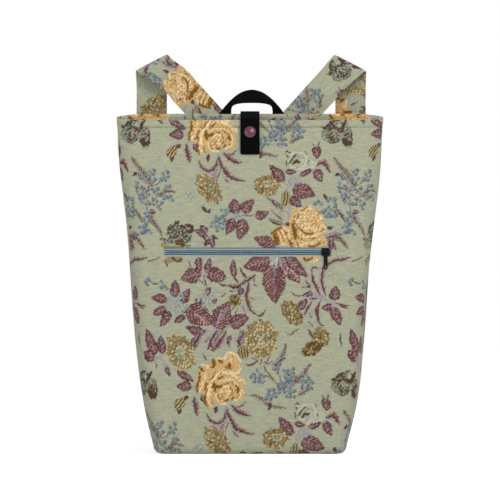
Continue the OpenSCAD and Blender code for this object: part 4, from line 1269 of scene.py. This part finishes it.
# Facing and lining: sewn sleeves inside the walls, each made of a front and a back half
# the facing's lip: how far below the mouth's edge, and the share of the way from the rim to its full depth
facingSize = {
    "low": 381.0, "front": -3.5, "back": -7.0, "thick": 0.8, "step": 1.45, "cornerSteps": 26, "rim": -2.2,
    "lip": [(1.6, 0.0), (0.9, 0.18), (0.6, 0.4), (0.8, 0.65), (1.7, 0.87)], "lipEnd": 3.2, "lipRun": 4.0,
    "dent": 0.5, "chart": (72.5, 366.0)}
liningSize = {
    "top": 380.7, "wall": -3.5, "pouch": -6.6, "thick": 0.8, "step": 6.0, "low": 112.0, "high": 288.0,
    "fade": 12.0, "backFrom": 285.0, "backFade": 40.0, "crease": 1.6, "baseRows": 9, "foldRows": 7,
    "cornerSteps": 12}
cornerTurn = math.radians(55)


def flatStops(step):
    flat = bagSize["topWidth"] / 2 - bagSize["cornerTop"]
    return np.linspace(-1, 1, 2 * round(flat / step) + 1)


def joinHalves(name, halves):
    pickOnly(halves[0])
    halves[1].select_set(True)
    bpy.ops.object.join()
    piece = bpy.context.object
    piece.name = name
    piece.data.name = name
    mergeDoubles(piece, 2e-5)
    return piece


def thicken(piece, thick):
    # the wall grows behind the faces
    pickOnly(piece)
    wall = piece.modifiers.new("cloth", "SOLIDIFY")
    wall.thickness = thick * mm
    wall.offset = -1
    bpy.ops.object.modifier_apply(modifier="cloth")


def facingHalf(side):
    size = facingSize
    top = bagSize["height"]
    lip = np.array(size["lip"])
    wallTop = top - size["lipEnd"]
    walls = np.linspace(wallTop, size["low"], round((wallTop - size["low"]) / size["step"]))
    height = np.concatenate([top - lip[:, 0], walls])
    sink = np.concatenate([lip[:, 1], np.ones(len(walls))])[:, None]
    hand, sweep, across = ringColumns(height, size["cornerSteps"], flatStops(size["step"]))
    deep = np.full(sweep.shape, size["front"])
    if side > 0:
        deep = lerp(size["front"], size["back"], ease(sweep / cornerTurn))
    out = lerp(size["rim"], deep, sink)
    fold = np.full(len(height), math.pi / 2)
    plain = skinPoints(height, fold, out, side, hand, sweep, across)
    loose = np.clip((top - 6 - height) / 30, 0, 1)[:, None]
    dent = size["dent"] * softness(plain[:, :, 0] * 1.3, plain[:, :, 2], 3.3) * loose
    points = skinPoints(height, fold, out - np.abs(dent), side, hand, sweep, across)
    arc = arcAcross(points)
    run = middleRun(points)
    u = chartMiddle + size["chart"][0] + side * arc / chartSquare
    v = size["chart"][1] + (run[:, None] - size["lipRun"]) / chartSquare
    piece, row, col = gridPiece("facingHalf", points)
    setCloth(piece, row, col, together(u, v))
    return piece


def liningHalf(side):
    size = liningSize
    base = size["baseRows"]
    folds = np.linspace(0, math.pi / 2, size["foldRows"], endpoint=False)
    walls = np.linspace(bagSize["fold"], size["top"], round((size["top"] - bagSize["fold"]) / size["step"]))
    height = np.concatenate([np.full(base + len(folds), bagSize["fold"]), walls])
    fold = np.concatenate([np.zeros(base), folds, np.full(len(walls), math.pi / 2)])
    hand, sweep, across = ringColumns(height, size["cornerSteps"], flatStops(size["step"]))
    deep = ease(sweep / cornerTurn)
    if side < 0:
        fade = size["fade"]
        behind = ease((height - size["low"]) / fade) * ease((size["high"] + fade - height) / fade)
        out = lerp(size["wall"], size["pouch"], deep * behind[:, None])
    else:
        behind = ease((height - size["backFrom"]) / size["backFade"])
        out = lerp(size["wall"], facingSize["back"], deep * behind[:, None])
    plain = skinPoints(height, fold, out, side, hand, sweep, across)
    loose = np.clip((height - 14) / 30, 0, 1) * np.clip((size["top"] - height) / 30, 0, 1)
    crease = np.abs(softness(plain[:, :, 0] * 1.7, plain[:, :, 2] * 1.3, 5.1)) * size["crease"] * loose[:, None]
    points = skinPoints(height, fold, out - crease, side, hand, sweep, across)
    closeBase(points, height, baseShare(len(height), base))
    chart = together(arcAcross(points) / chartSquare, middleRun(points)[:, None] / chartSquare)
    piece, row, col = gridPiece("liningHalf", points)
    setCloth(piece, row, col, chart, printed=False)
    return piece


def makeSleeve(name, half, thick, material, node):
    # an open sleeve: its faces are turned towards the bag's inside before it gets its thickness
    piece = joinHalves(name, [half(-1), half(1)])
    faceOut(piece, inside=True)
    thicken(piece, thick)
    smooth(piece, 60)
    dress(piece, material, nodes=[node])


makeSleeve("mouthFacing", facingHalf, facingSize["thick"], tapestry, "mouth_facing")
makeSleeve("bagLining", liningHalf, liningSize["thick"], cotton, "lining")
print("facing and lining ready")

# Pocket: a thin cotton pouch behind the zip, open towards the tapes
pouchSize = {
    "low": 122.0, "high": 276.0, "front": 3.5, "back": 5.6, "half": 118.0, "mouth": 9.5, "mouthEnd": 6.0,
    "wall": 0.5, "rows": 45, "columns": 49, "puff": 0.35}


def makePouch():
    size = pouchSize
    half = size["half"]
    height = np.linspace(size["low"], size["high"], size["rows"])
    wall = np.array([frontPoint(h) for h in height])
    loop = np.concatenate([
        wall + [size["front"], 0], wall[::-1] + [size["back"], 0], wall[:1] + [size["front"], 0]])
    x = zipSize["x"] + np.concatenate([[-half], np.linspace(-half, half, size["columns"]), [half]])
    points = np.empty((len(loop), len(x), 3))
    points[:, :, 0] = x
    points[:, :, 1] = loop[:, :1]
    points[:, :, 2] = loop[:, 1:]
    puff = size["puff"] * np.abs(np.sin(points[:, :, 0] / 23 + points[:, :, 2] / 31))
    puff *= ease((np.abs(points[:, :, 2] - zipMiddle[1]) - 10) / 12)
    order = np.arange(len(loop))[:, None]
    inner = order >= len(height)
    points[:, :, 1] -= np.where(inner & (order < len(loop) - 1), puff, 0)
    middle = np.concatenate([wall, wall[::-1], wall[:1]])[:, 0] + (size["front"] + size["back"]) / 2
    points[:, [0, -1], 1] = middle[:, None]
    chart = np.stack([points[:, :, 0], points[:, :, 2] + np.where(inner, 300, 0)], axis=-1) / chartSquare
    piece, row, col = gridPiece("pocketPouch", points)
    setCloth(piece, row, col, chart, printed=False)
    mergeDoubles(piece)
    faceOut(piece)
    bpy.ops.object.mode_set(mode="EDIT")
    bpy.ops.mesh.select_mode(type="FACE")
    bpy.ops.mesh.select_all(action="DESELECT")
    work = bmesh.from_edit_mesh(piece.data)
    for face in work.faces:
        spot = face.calc_center_median() / mm
        atMouth = abs(spot.z - zipMiddle[1]) < size["mouth"]
        between = abs(spot.x - zipSize["x"]) < half - size["mouthEnd"]
        face.select_set(atMouth and between and face.normal.y < -0.5)
    bmesh.update_edit_mesh(piece.data)
    bpy.ops.mesh.delete(type="FACE")
    bpy.ops.object.mode_set(mode="OBJECT")
    thicken(piece, size["wall"])
    smooth(piece, 50)
    dress(piece, cotton, nodes=["pocket_pouch"])


makePouch()


# Sewn strips: straps and webbing run through stations of x, y, z, half width x, y, z and thickness
stitchLine = 0.86  # where a strap's edge seam lies, as a share of its half width
layerGap = 0.3


def stripRows(stations, step):
    dense = np.array(rounded(stations, 30))
    run = runAlong(dense[:, :3])
    stops = np.linspace(0, run[-1], round(run[-1] / step) + 1)
    return np.stack([np.interp(stops, run, dense[:, k]) for k in range(dense.shape[1])], axis=1), stops


def stripSkin(rows, flatSteps, edgeSteps, crown=0.0, groove=0.0, sway=0.0):
    # round the strip from the middle of its inner face, over the outer face and back; the ends close to a line
    along = np.gradient(rows[:, :3], axis=0)
    face = np.cross(along, rows[:, 3:6])
    face /= np.linalg.norm(face, axis=1)[:, None]
    thick = rows[:, 6:7]
    flat = 1 - thick / 2 / np.linalg.norm(rows[:, 3:6], axis=1)[:, None]
    turn = np.linspace(-math.pi / 2, math.pi / 2, edgeSteps + 1)[1:-1]
    inner = np.linspace(0, 1, flatSteps // 2 + 1)
    outer = np.linspace(-1, 1, flatSteps + 1)
    place = np.concatenate([-inner, -np.ones(len(turn)), outer, np.ones(len(turn)), inner[::-1]])
    bulge = np.concatenate([0 * inner, np.cos(turn), 0 * outer, np.cos(turn), 0 * inner])
    level = np.concatenate([0 * inner - 1, np.sin(turn), 0 * outer + 1, -np.sin(turn), 0 * inner - 1])
    share = place * flat + np.sign(place) * (1 - flat) * bulge
    off = level * thick / 2 * (1 - crown * share ** 2)
    off = off - np.sign(level) * groove * bell(np.abs(share) - stitchLine, 0.04)
    off[[0, -1]] = 0
    off = off + np.reshape(sway, (-1, 1))
    return rows[:, None, :3] + share[:, :, None] * rows[:, None, 3:6] + off[:, :, None] * face[:, None, :]


def closeStrip(piece):
    mergeDoubles(piece)
    faceOut(piece)
    smooth(piece, 65)


backRimZ = bagSize["height"] + bagSize["backRise"]
strapSize = {
    "half": 20.0, "thick": 3.2, "end": 1.3, "footX": 89.5, "foldZ": 508.5, "rise": 72.5, "loop": 17.0,
    "foldSlope": 27.5, "rimSlope": 42.0, "step": 1.4, "across": 28, "edge": 8, "crown": 0.25, "groove": 0.45,
    "footCalm": 60.0, "rimCalm": 70.0, "swayFade": 60.0, "sway": 0.5, "swayLength": 31.0}
webbingSize = {"half": 12.5, "thick": 1.6, "step": 1.2, "across": 20, "edge": 6, "crown": 0.12}
# the layers sewn to the back panel's inside: the straps, then the webbing
seamY = {
    "strap": backY - bagSize["panel"] - layerGap - strapSize["end"] / 2,
    "webbing": backY - bagSize["panel"] - layerGap - strapSize["end"] - layerGap - webbingSize["thick"] / 2}
# where each strap leaves the rim and falls behind the back, its twist, and the chart's place at the rim on its
# outer and inner sides; the straps are cut across the cloth, so the chart's x runs up them
strapSides = {
    "Left": {
        "hand": -1, "rimX": 61.0, "fallX": 129.5, "twist": 4.0, "chart": (270.1, 226.4), "inner": (84, 191)},
    "Right": {
        "hand": 1, "rimX": 71.0, "fallX": 132.5, "twist": 0.0, "chart": (71.5, 133.9), "inner": (89, 360)}}


def strapStations(side):
    size = strapSize
    w, thick, end, loop = size["half"], size["thick"], size["end"], size["loop"]
    foldZ, rise, fallX, footX = size["foldZ"], size["rise"], side["fallX"], size["footX"]
    loopY = backY + loop + thick / 2
    footY = backY + layerGap + end / 2
    slopeFold, slopeRim = math.radians(size["foldSlope"]), math.radians(size["rimSlope"])
    foldX, foldDown = w * 1.16 * math.cos(slopeFold), -w * 1.16 * math.sin(slopeFold)
    rimX, rimDown = w * math.cos(slopeRim), -w * math.sin(slopeRim)
    climb = foldZ - backRimZ
    high = bagSize["height"]

    def slanted(up):
        return side["rimX"] + (up * climb - 3) * math.tan(slopeRim), backRimZ + up * climb

    top, middle, rim, tuck = slanted(0.66), slanted(0.44), slanted(0.22), slanted(-0.3)
    return [
        (footX, footY, 26, w, 0, 0, end), (footX + 1, footY, 50, w, 0, 0, end),
        (footX + 6, backY + loop * 0.3 + thick / 2, 84, w, 0, 0, thick),
        (lerp(footX, fallX, 0.6), backY + loop * 0.8 + thick / 2, 0.38 * high, w, 0, 0, thick),
        (lerp(footX, fallX, 0.9), loopY, 0.62 * high, w, 0, 0, thick),
        (fallX, loopY, 0.87 * high, w, 0, 0, thick),
        (fallX, loopY, foldZ - 0.72 * rise, w, 0, 0, thick),
        (fallX, loopY - 0.03 * loop, foldZ - 0.34 * rise, w, 0, -w * 0.3, thick),
        (fallX, loopY - 0.15 * loop, foldZ - 0.1 * rise, foldX, 0, foldDown, thick),
        (fallX - 0.03 * w, backY + loop * 0.6, foldZ, foldX, 0, foldDown, thick),
        (fallX - 0.35 * w, backY + loop * 0.25, foldZ - 0.07 * rise, foldX * 0.97, 0, foldDown * 0.97, thick),
        (top[0], backY + 2, top[1], rimX, side["twist"], rimDown, thick),
        (middle[0], seamY["strap"] + 1, middle[1], rimX, side["twist"] / 2, rimDown, thick * 0.8),
        (rim[0], seamY["strap"], rim[1], rimX, 0, rimDown, end),
        (tuck[0], seamY["strap"], tuck[1], rimX, 0, rimDown, end)]


def makeStrap(name, side, node):
    size = strapSize
    rows, run = stripRows(strapStations(side), size["step"])
    free = np.clip((run - size["footCalm"]) / size["swayFade"], 0, 1) \
        * np.clip((run[-1] - size["rimCalm"] - run) / size["swayFade"], 0, 1)
    sway = size["sway"] * np.sin(run / size["swayLength"] + side["hand"]) * free
    points = stripSkin(rows, size["across"], size["edge"], size["crown"], size["groove"], sway)
    points[:, :, 0] *= side["hand"]
    front = np.flatnonzero(rows[:, 1] < backY)
    rim = np.interp(-backRimZ, -rows[front[len(front) // 2]:, 2], run[front[len(front) // 2]:])
    arc = arcAcross(points)
    column = np.arange(points.shape[1]) - points.shape[1] // 2
    inner = np.abs(column) > (size["across"] + size["edge"]) / 2
    fromInner = arc - np.where(column < 0, arc[:, :1], arc[:, -1:])
    u = np.where(inner, side["inner"][0], side["chart"][0]) + (rim - run[:, None]) / chartSquare
    v = np.where(inner, side["inner"][1] + side["hand"] * fromInner / chartSquare,
                 side["chart"][1] + side["hand"] * arc / chartSquare)
    piece, row, col = gridPiece(name, points)
    setCloth(piece, row, col, together(u, v))
    closeStrip(piece)
    dress(piece, tapestry, nodes=[node])
    return points


leftPoints = makeStrap("shoulderStrapLeft", strapSides["Left"], "shoulder_strap_left")
rightPoints = makeStrap("shoulderStrapRight", strapSides["Right"], "shoulder_strap_right")
print("shoulder straps ready")

# the handle's outer and inner edges: shares of the half width, of the rise and of the lean
handleSize = {
    "x": 2.5, "half": 43.0, "gap": 27.0, "rise": 32.0, "gapRise": 14.0,
    "outer": [
        (1.2, -0.4, 0), (1.01, -0.03, 0), (0.84, 0.28, 0), (0.6, 0.62, 0.5), (0.32, 0.89, 0.9), (0, 1, 1)],
    "inner": [
        (1, -0.9, 0), (1, -0.07, 0), (0.99, 0.42, -0.1), (0.9, 0.78, -0.4), (0.55, 0.96, -0.7), (0, 1, -0.8)]}
closureSize = {
    "drop": 47.0, "snap": 17.5, "cap": 15.0, "off": 4.45, "tip": 2.1, "tuck": 12.0,
    "corner": [(2.4, 0), (1.2, 0.2), (0.4, 0.9), (0, 2.0)]}


def handleStations():
    size = handleSize
    lean = size["rise"] / 3

    def station(i, hand):
        ox, oz, oy = size["outer"][i]
        ix, iz, iy = size["inner"][i]
        seam = seamY["webbing"]
        a = np.array([size["x"] + hand * size["half"] * ox, seam + lean * oy, backRimZ + size["rise"] * oz])
        b = np.array([size["x"] + hand * size["gap"] * ix, seam + lean * iy, backRimZ + size["gapRise"] * iz])
        return tuple((a + b) / 2) + tuple((a - b) / 2) + (webbingSize["thick"],)

    last = len(size["outer"]) - 1
    return [station(i, -1) for i in range(last + 1)] + [station(i, 1) for i in range(last - 1, -1, -1)]


def closureStations():
    size = closureSize
    low = frontPoint(bagSize["height"] - size["drop"] - 6)
    high = frontPoint(hemSeam)
    up = (high - low) / np.linalg.norm(high - low)
    out = np.array([-up[1], up[0]])
    rim = high + hemSize["high"] * up

    def onFront(drop, off):
        return rim - drop * up + off * out

    seam = seamY["webbing"]
    crest = np.array([seam - 3.4, backRimZ + 2.6])
    line = [np.array([seam, backRimZ - size["tuck"]]), np.array([seam, backRimZ - 2]),
            np.array([seam - 0.2, backRimZ + 0.8]), crest,
            lerp(crest, onFront(-3.4, 0), 0.5) + np.array([0, 0.4]), onFront(-3.4, 0.2), onFront(-1.6, 2.6)]
    line += [onFront(size["snap"] + d * size["cap"], size["off"]) for d in (-0.9, -0.6, 0, 0.6, 0.96)]
    stations = [(0, y, z, webbingSize["half"], 0, 0, webbingSize["thick"]) for y, z in line]
    for drop, narrower in size["corner"]:
        y, z = onFront(size["drop"] - drop, size["tip"])
        stations.append((0, y, z, webbingSize["half"] - narrower, 0, 0, webbingSize["thick"]))
    return stations


def makeWebbing(name, stations, node):
    size = webbingSize
    rows, run = stripRows(stations, size["step"])
    points = stripSkin(rows, size["across"], size["edge"], size["crown"])
    chart = together(arcAcross(points), run[:, None]) / chartSquare
    piece, row, col = gridPiece(name, points)
    setCloth(piece, row, col, chart, printed=False)
    closeStrip(piece)
    dress(piece, webbing, nodes=[node])


makeWebbing("carryHandle", handleStations(), "carry_handle")
makeWebbing("closureStrap", closureStations(), "closure_strap")
print("webbing ready")

# Zip: woven tapes, two rows of wound coil, and the solids of its slider and pull
tapeSize = {"depth": 2.6526, "low": 0.6, "wide": 14.0, "thick": 0.6, "columns": 120, "rows": 16, "wave": 0.12}
coilSize = {
    "pitch": 2.0, "up": 1.55, "depth": 1.7, "high": 0.52, "deep": 0.62, "wire": 0.32, "steps": 12, "sides": 6}


def makeTape(name, hand, node):
    size = tapeSize
    half = zipSize["length"] / 2 + zipSize["tapeEnd"]
    x = np.linspace(-half, half, size["columns"])[None, :]
    up = hand * np.linspace(size["low"], size["wide"], size["rows"])[:, None]
    depth = size["depth"] + size["wave"] * np.sin(x / 19 + hand) * np.clip(np.abs(up) - 4, 0, 6) / 6
    piece, row, col = gridPiece(name, zipPoints(x, depth, up))
    setCloth(piece, row, col, together(x, up) / chartSquare, printed=False)
    if piece.data.polygons[0].normal.y > 0:
        editAll(piece, bpy.ops.mesh.flip_normals)
    thicken(piece, size["thick"])
    dress(piece, zipTape, nodes=[node])


def makeCoil(name, hand, node):
    size = coilSize
    turns = round((zipSize["length"] - 4) / size["pitch"])
    along = np.linspace(0, turns, turns * size["steps"] + 1)
    angle = 2 * math.pi * along
    x = (along - turns / 2) * size["pitch"] + (0.5 * size["pitch"] if hand > 0 else 0)
    depth = size["depth"] + size["deep"] * np.sin(angle)
    centre = np.stack([x, depth, hand * (size["up"] + size["high"] * np.cos(angle))], axis=-1)
    ahead = np.gradient(centre, axis=0)
    ahead /= np.linalg.norm(ahead, axis=1)[:, None]
    spoke = centre * 0
    spoke[:, 1] = np.sin(angle)
    spoke[:, 2] = hand * np.cos(angle)
    spoke -= ahead * np.sum(spoke * ahead, axis=1)[:, None]
    spoke /= np.linalg.norm(spoke, axis=1)[:, None]
    other = np.cross(ahead, spoke)
    around = np.linspace(0, 2 * math.pi, size["sides"] + 1)
    wire = np.full(len(x), size["wire"])
    wire[[0, -1]] = 0
    tube = centre[:, None] + wire[:, None, None] * (
        np.cos(around)[:, None] * spoke[:, None] + np.sin(around)[:, None] * other[:, None])
    piece = gridPiece(name, zipPoints(tube[:, :, 0], tube[:, :, 1], tube[:, :, 2]))[0]
    closeStrip(piece)
    dress(piece, zipCoil, nodes=[node])


makeTape("zipTapeUpper", 1, "zip_tape_upper")
makeTape("zipTapeLower", -1, "zip_tape_lower")
makeCoil("zipCoilUpper", 1, "zip_coil_upper")
makeCoil("zipCoilLower", -1, "zip_coil_lower")


# Seams: one short stitch of thread, copied along every row that is sewn
stitchSize = {"length": 2.7, "thick": 0.6, "pitch": 3.4, "rise": 0.1}


def makeStitch():
    deselectAll()
    bpy.ops.mesh.primitive_uv_sphere_add(segments=6, ring_count=4, radius=0.5, rotation=(0, math.pi / 2, 0))
    stitch = bpy.context.object
    stitch.scale = (stitchSize["thick"], stitchSize["thick"], stitchSize["length"])
    bpy.ops.object.transform_apply(location=False, rotation=True, scale=True)
    corners = np.array([vertex.co for vertex in stitch.data.vertices])
    faces = [list(face.vertices) for face in stitch.data.polygons]
    bpy.ops.object.delete()
    return corners, faces


def sewRow(line, out):
    # where the stitches of one row lie, and their along, across and outward ways
    run = runAlong(line)
    stops = np.arange(stitchSize["pitch"] / 2, run[-1], stitchSize["pitch"])

    def onLine(values, at):
        return np.stack([np.interp(at, run, values[:, k]) for k in range(3)], axis=1)

    ahead = onLine(line, stops + 0.5) - onLine(line, stops - 0.5)
    ahead /= np.linalg.norm(ahead, axis=1)[:, None]
    side = np.cross(onLine(out, stops), ahead)
    side /= np.linalg.norm(side, axis=1)[:, None]
    up = np.cross(ahead, side)
    return onLine(line, stops) + stitchSize["rise"] * up, np.stack([ahead, side, up], axis=2)


def makeSeam(name, rows):
    corners, faces = makeStitch()
    points, polygons = [], []
    for line, out in rows:
        for place, turn in zip(*sewRow(np.asarray(line), np.asarray(out))):
            polygons.extend([k + len(points) * len(corners) for k in face] for face in faces)
            points.append(place + corners @ turn.T)
    mesh = bpy.data.meshes.new(name)
    mesh.from_pydata(np.concatenate(points) * mm, [], polygons)
    piece = bpy.data.objects.new(name, mesh)
    bpy.context.collection.objects.link(piece)
    smooth(piece, 60)
    dress(piece, sewingThread)


def facingOut(points):
    # the way a grid of points faces
    return np.cross(np.gradient(points, axis=1), np.gradient(points, axis=0))


def hemRow(side, seed):
    points, height, _ = panelPoints(side, seed)
    row = np.argmin(np.abs(height - hemSeam))
    return points[row], facingOut(points)[row] * -side


def zipRow():
    across = zipSize["length"] / 2 + softSize["zipSeam"]
    up = zipSize["window"] / 2 + softSize["zipSeam"]
    corners = np.array([(-across, up), (across, up), (across, -up), (-across, -up), (-across, up)])
    line = zipPoints(corners[:, 0], 0.5, corners[:, 1])
    return line, np.full((5, 3), (0.0, -math.cos(zipTilt), math.sin(zipTilt)))


def strapRows(points, hand):
    out = facingOut(points) * hand
    middle = points.shape[1] // 2
    reach = round(stitchLine * strapSize["across"] / 2)
    return [(points[:, middle + k], out[:, middle + k]) for k in (-reach, reach)]


def finishNode(node, material):
    for slot in bpy.data.objects[node].material_slots:
        slot.material = material


finishNode("zip_slider", blackEnamel)
finishNode("zip_pull", blackEnamel)
finishNode("snap_cap", plumEnamel)
for name in ("snap_socket", "snap_stud", "snap_post"):
    finishNode(name, steel)
print("zip and snap ready")

makeSeam("hemStitches", [hemRow(panel["side"], panel["seed"]) for panel in panelSides.values()])
makeSeam("zipStitches", [zipRow()])
makeSeam("strapStitches", strapRows(leftPoints, -1) + strapRows(rightPoints, 1))
print("seams sewn")

# Floor, light and camera
stageLook = {"floor": (0.9, 0.9, 0.9, 1.0), "backdrop": (1.0, 1.0, 1.0, 1.0), "world": 0.40, "lift": 0.62}
lamps = [("keyLight", (0.9, -2.0, 2.3), 1.4, 40), ("fillLight", (-1.8, -2.0, 0.9), 1.8, 11)]
lampAim = (0, 0, 0.25)
viewSize = {"across": 0.650, "middleZ": 0.2628, "middleX": 0.0, "distance": 5.0, "sensor": 36.0}


def seenDirectly(tree):
    path = addNode(tree, "ShaderNodeLightPath")
    return calc(tree, "MAXIMUM", path.outputs["Is Camera Ray"],
                calc(tree, "MAXIMUM", path.outputs["Is Glossy Ray"], path.outputs["Is Transmission Ray"]))


def makeStage():
    deselectAll()
    bpy.ops.mesh.primitive_plane_add(size=12, location=(0, 0, 0))
    floor = bpy.context.object
    floor.name = "floor"
    material, tree, shader = newMaterial("paleFloor", 0.9, 0.1)
    shader.inputs["Base Color"].default_value = stageLook["floor"]
    shader.inputs["Emission Color"].default_value = stageLook["backdrop"]
    glow = calc(tree, "MULTIPLY", seenDirectly(tree), stageLook["lift"])
    feed(tree, shader.inputs["Emission Strength"], glow)
    floor.data.materials.append(material)
    world = bpy.data.worlds.new("softLight")
    bpy.context.scene.world = world
    world.use_nodes = True
    tree = world.node_tree
    background = tree.nodes["Background"]
    feed(tree, background.inputs["Strength"], spread(tree, seenDirectly(tree), 0, 1, stageLook["world"], 1.0))
    background.inputs["Color"].default_value = stageLook["backdrop"]


def makeLamp(name, place, size, watts):
    bpy.ops.object.light_add(type="AREA", location=place)
    lamp = bpy.context.object
    lamp.name = name
    lamp.data.size = size
    lamp.data.energy = watts
    lamp.rotation_mode = "QUATERNION"
    lamp.rotation_quaternion = (Vector(lampAim) - Vector(place)).to_track_quat("-Z", "Y")


def makeCamera():
    bpy.ops.object.camera_add(location=(viewSize["middleX"], -viewSize["distance"], viewSize["middleZ"]))
    camera = bpy.context.object
    camera.rotation_euler = (math.pi / 2, 0, 0)
    camera.data.sensor_width = viewSize["sensor"]
    camera.data.lens = viewSize["sensor"] * viewSize["distance"] / viewSize["across"]
    camera.data.clip_end = 100
    bpy.context.scene.camera = camera


makeStage()
for lamp in lamps:
    makeLamp(*lamp)
makeCamera()
bpy.context.scene.view_settings.view_transform = "Standard"
print("stage, lamps and camera ready")
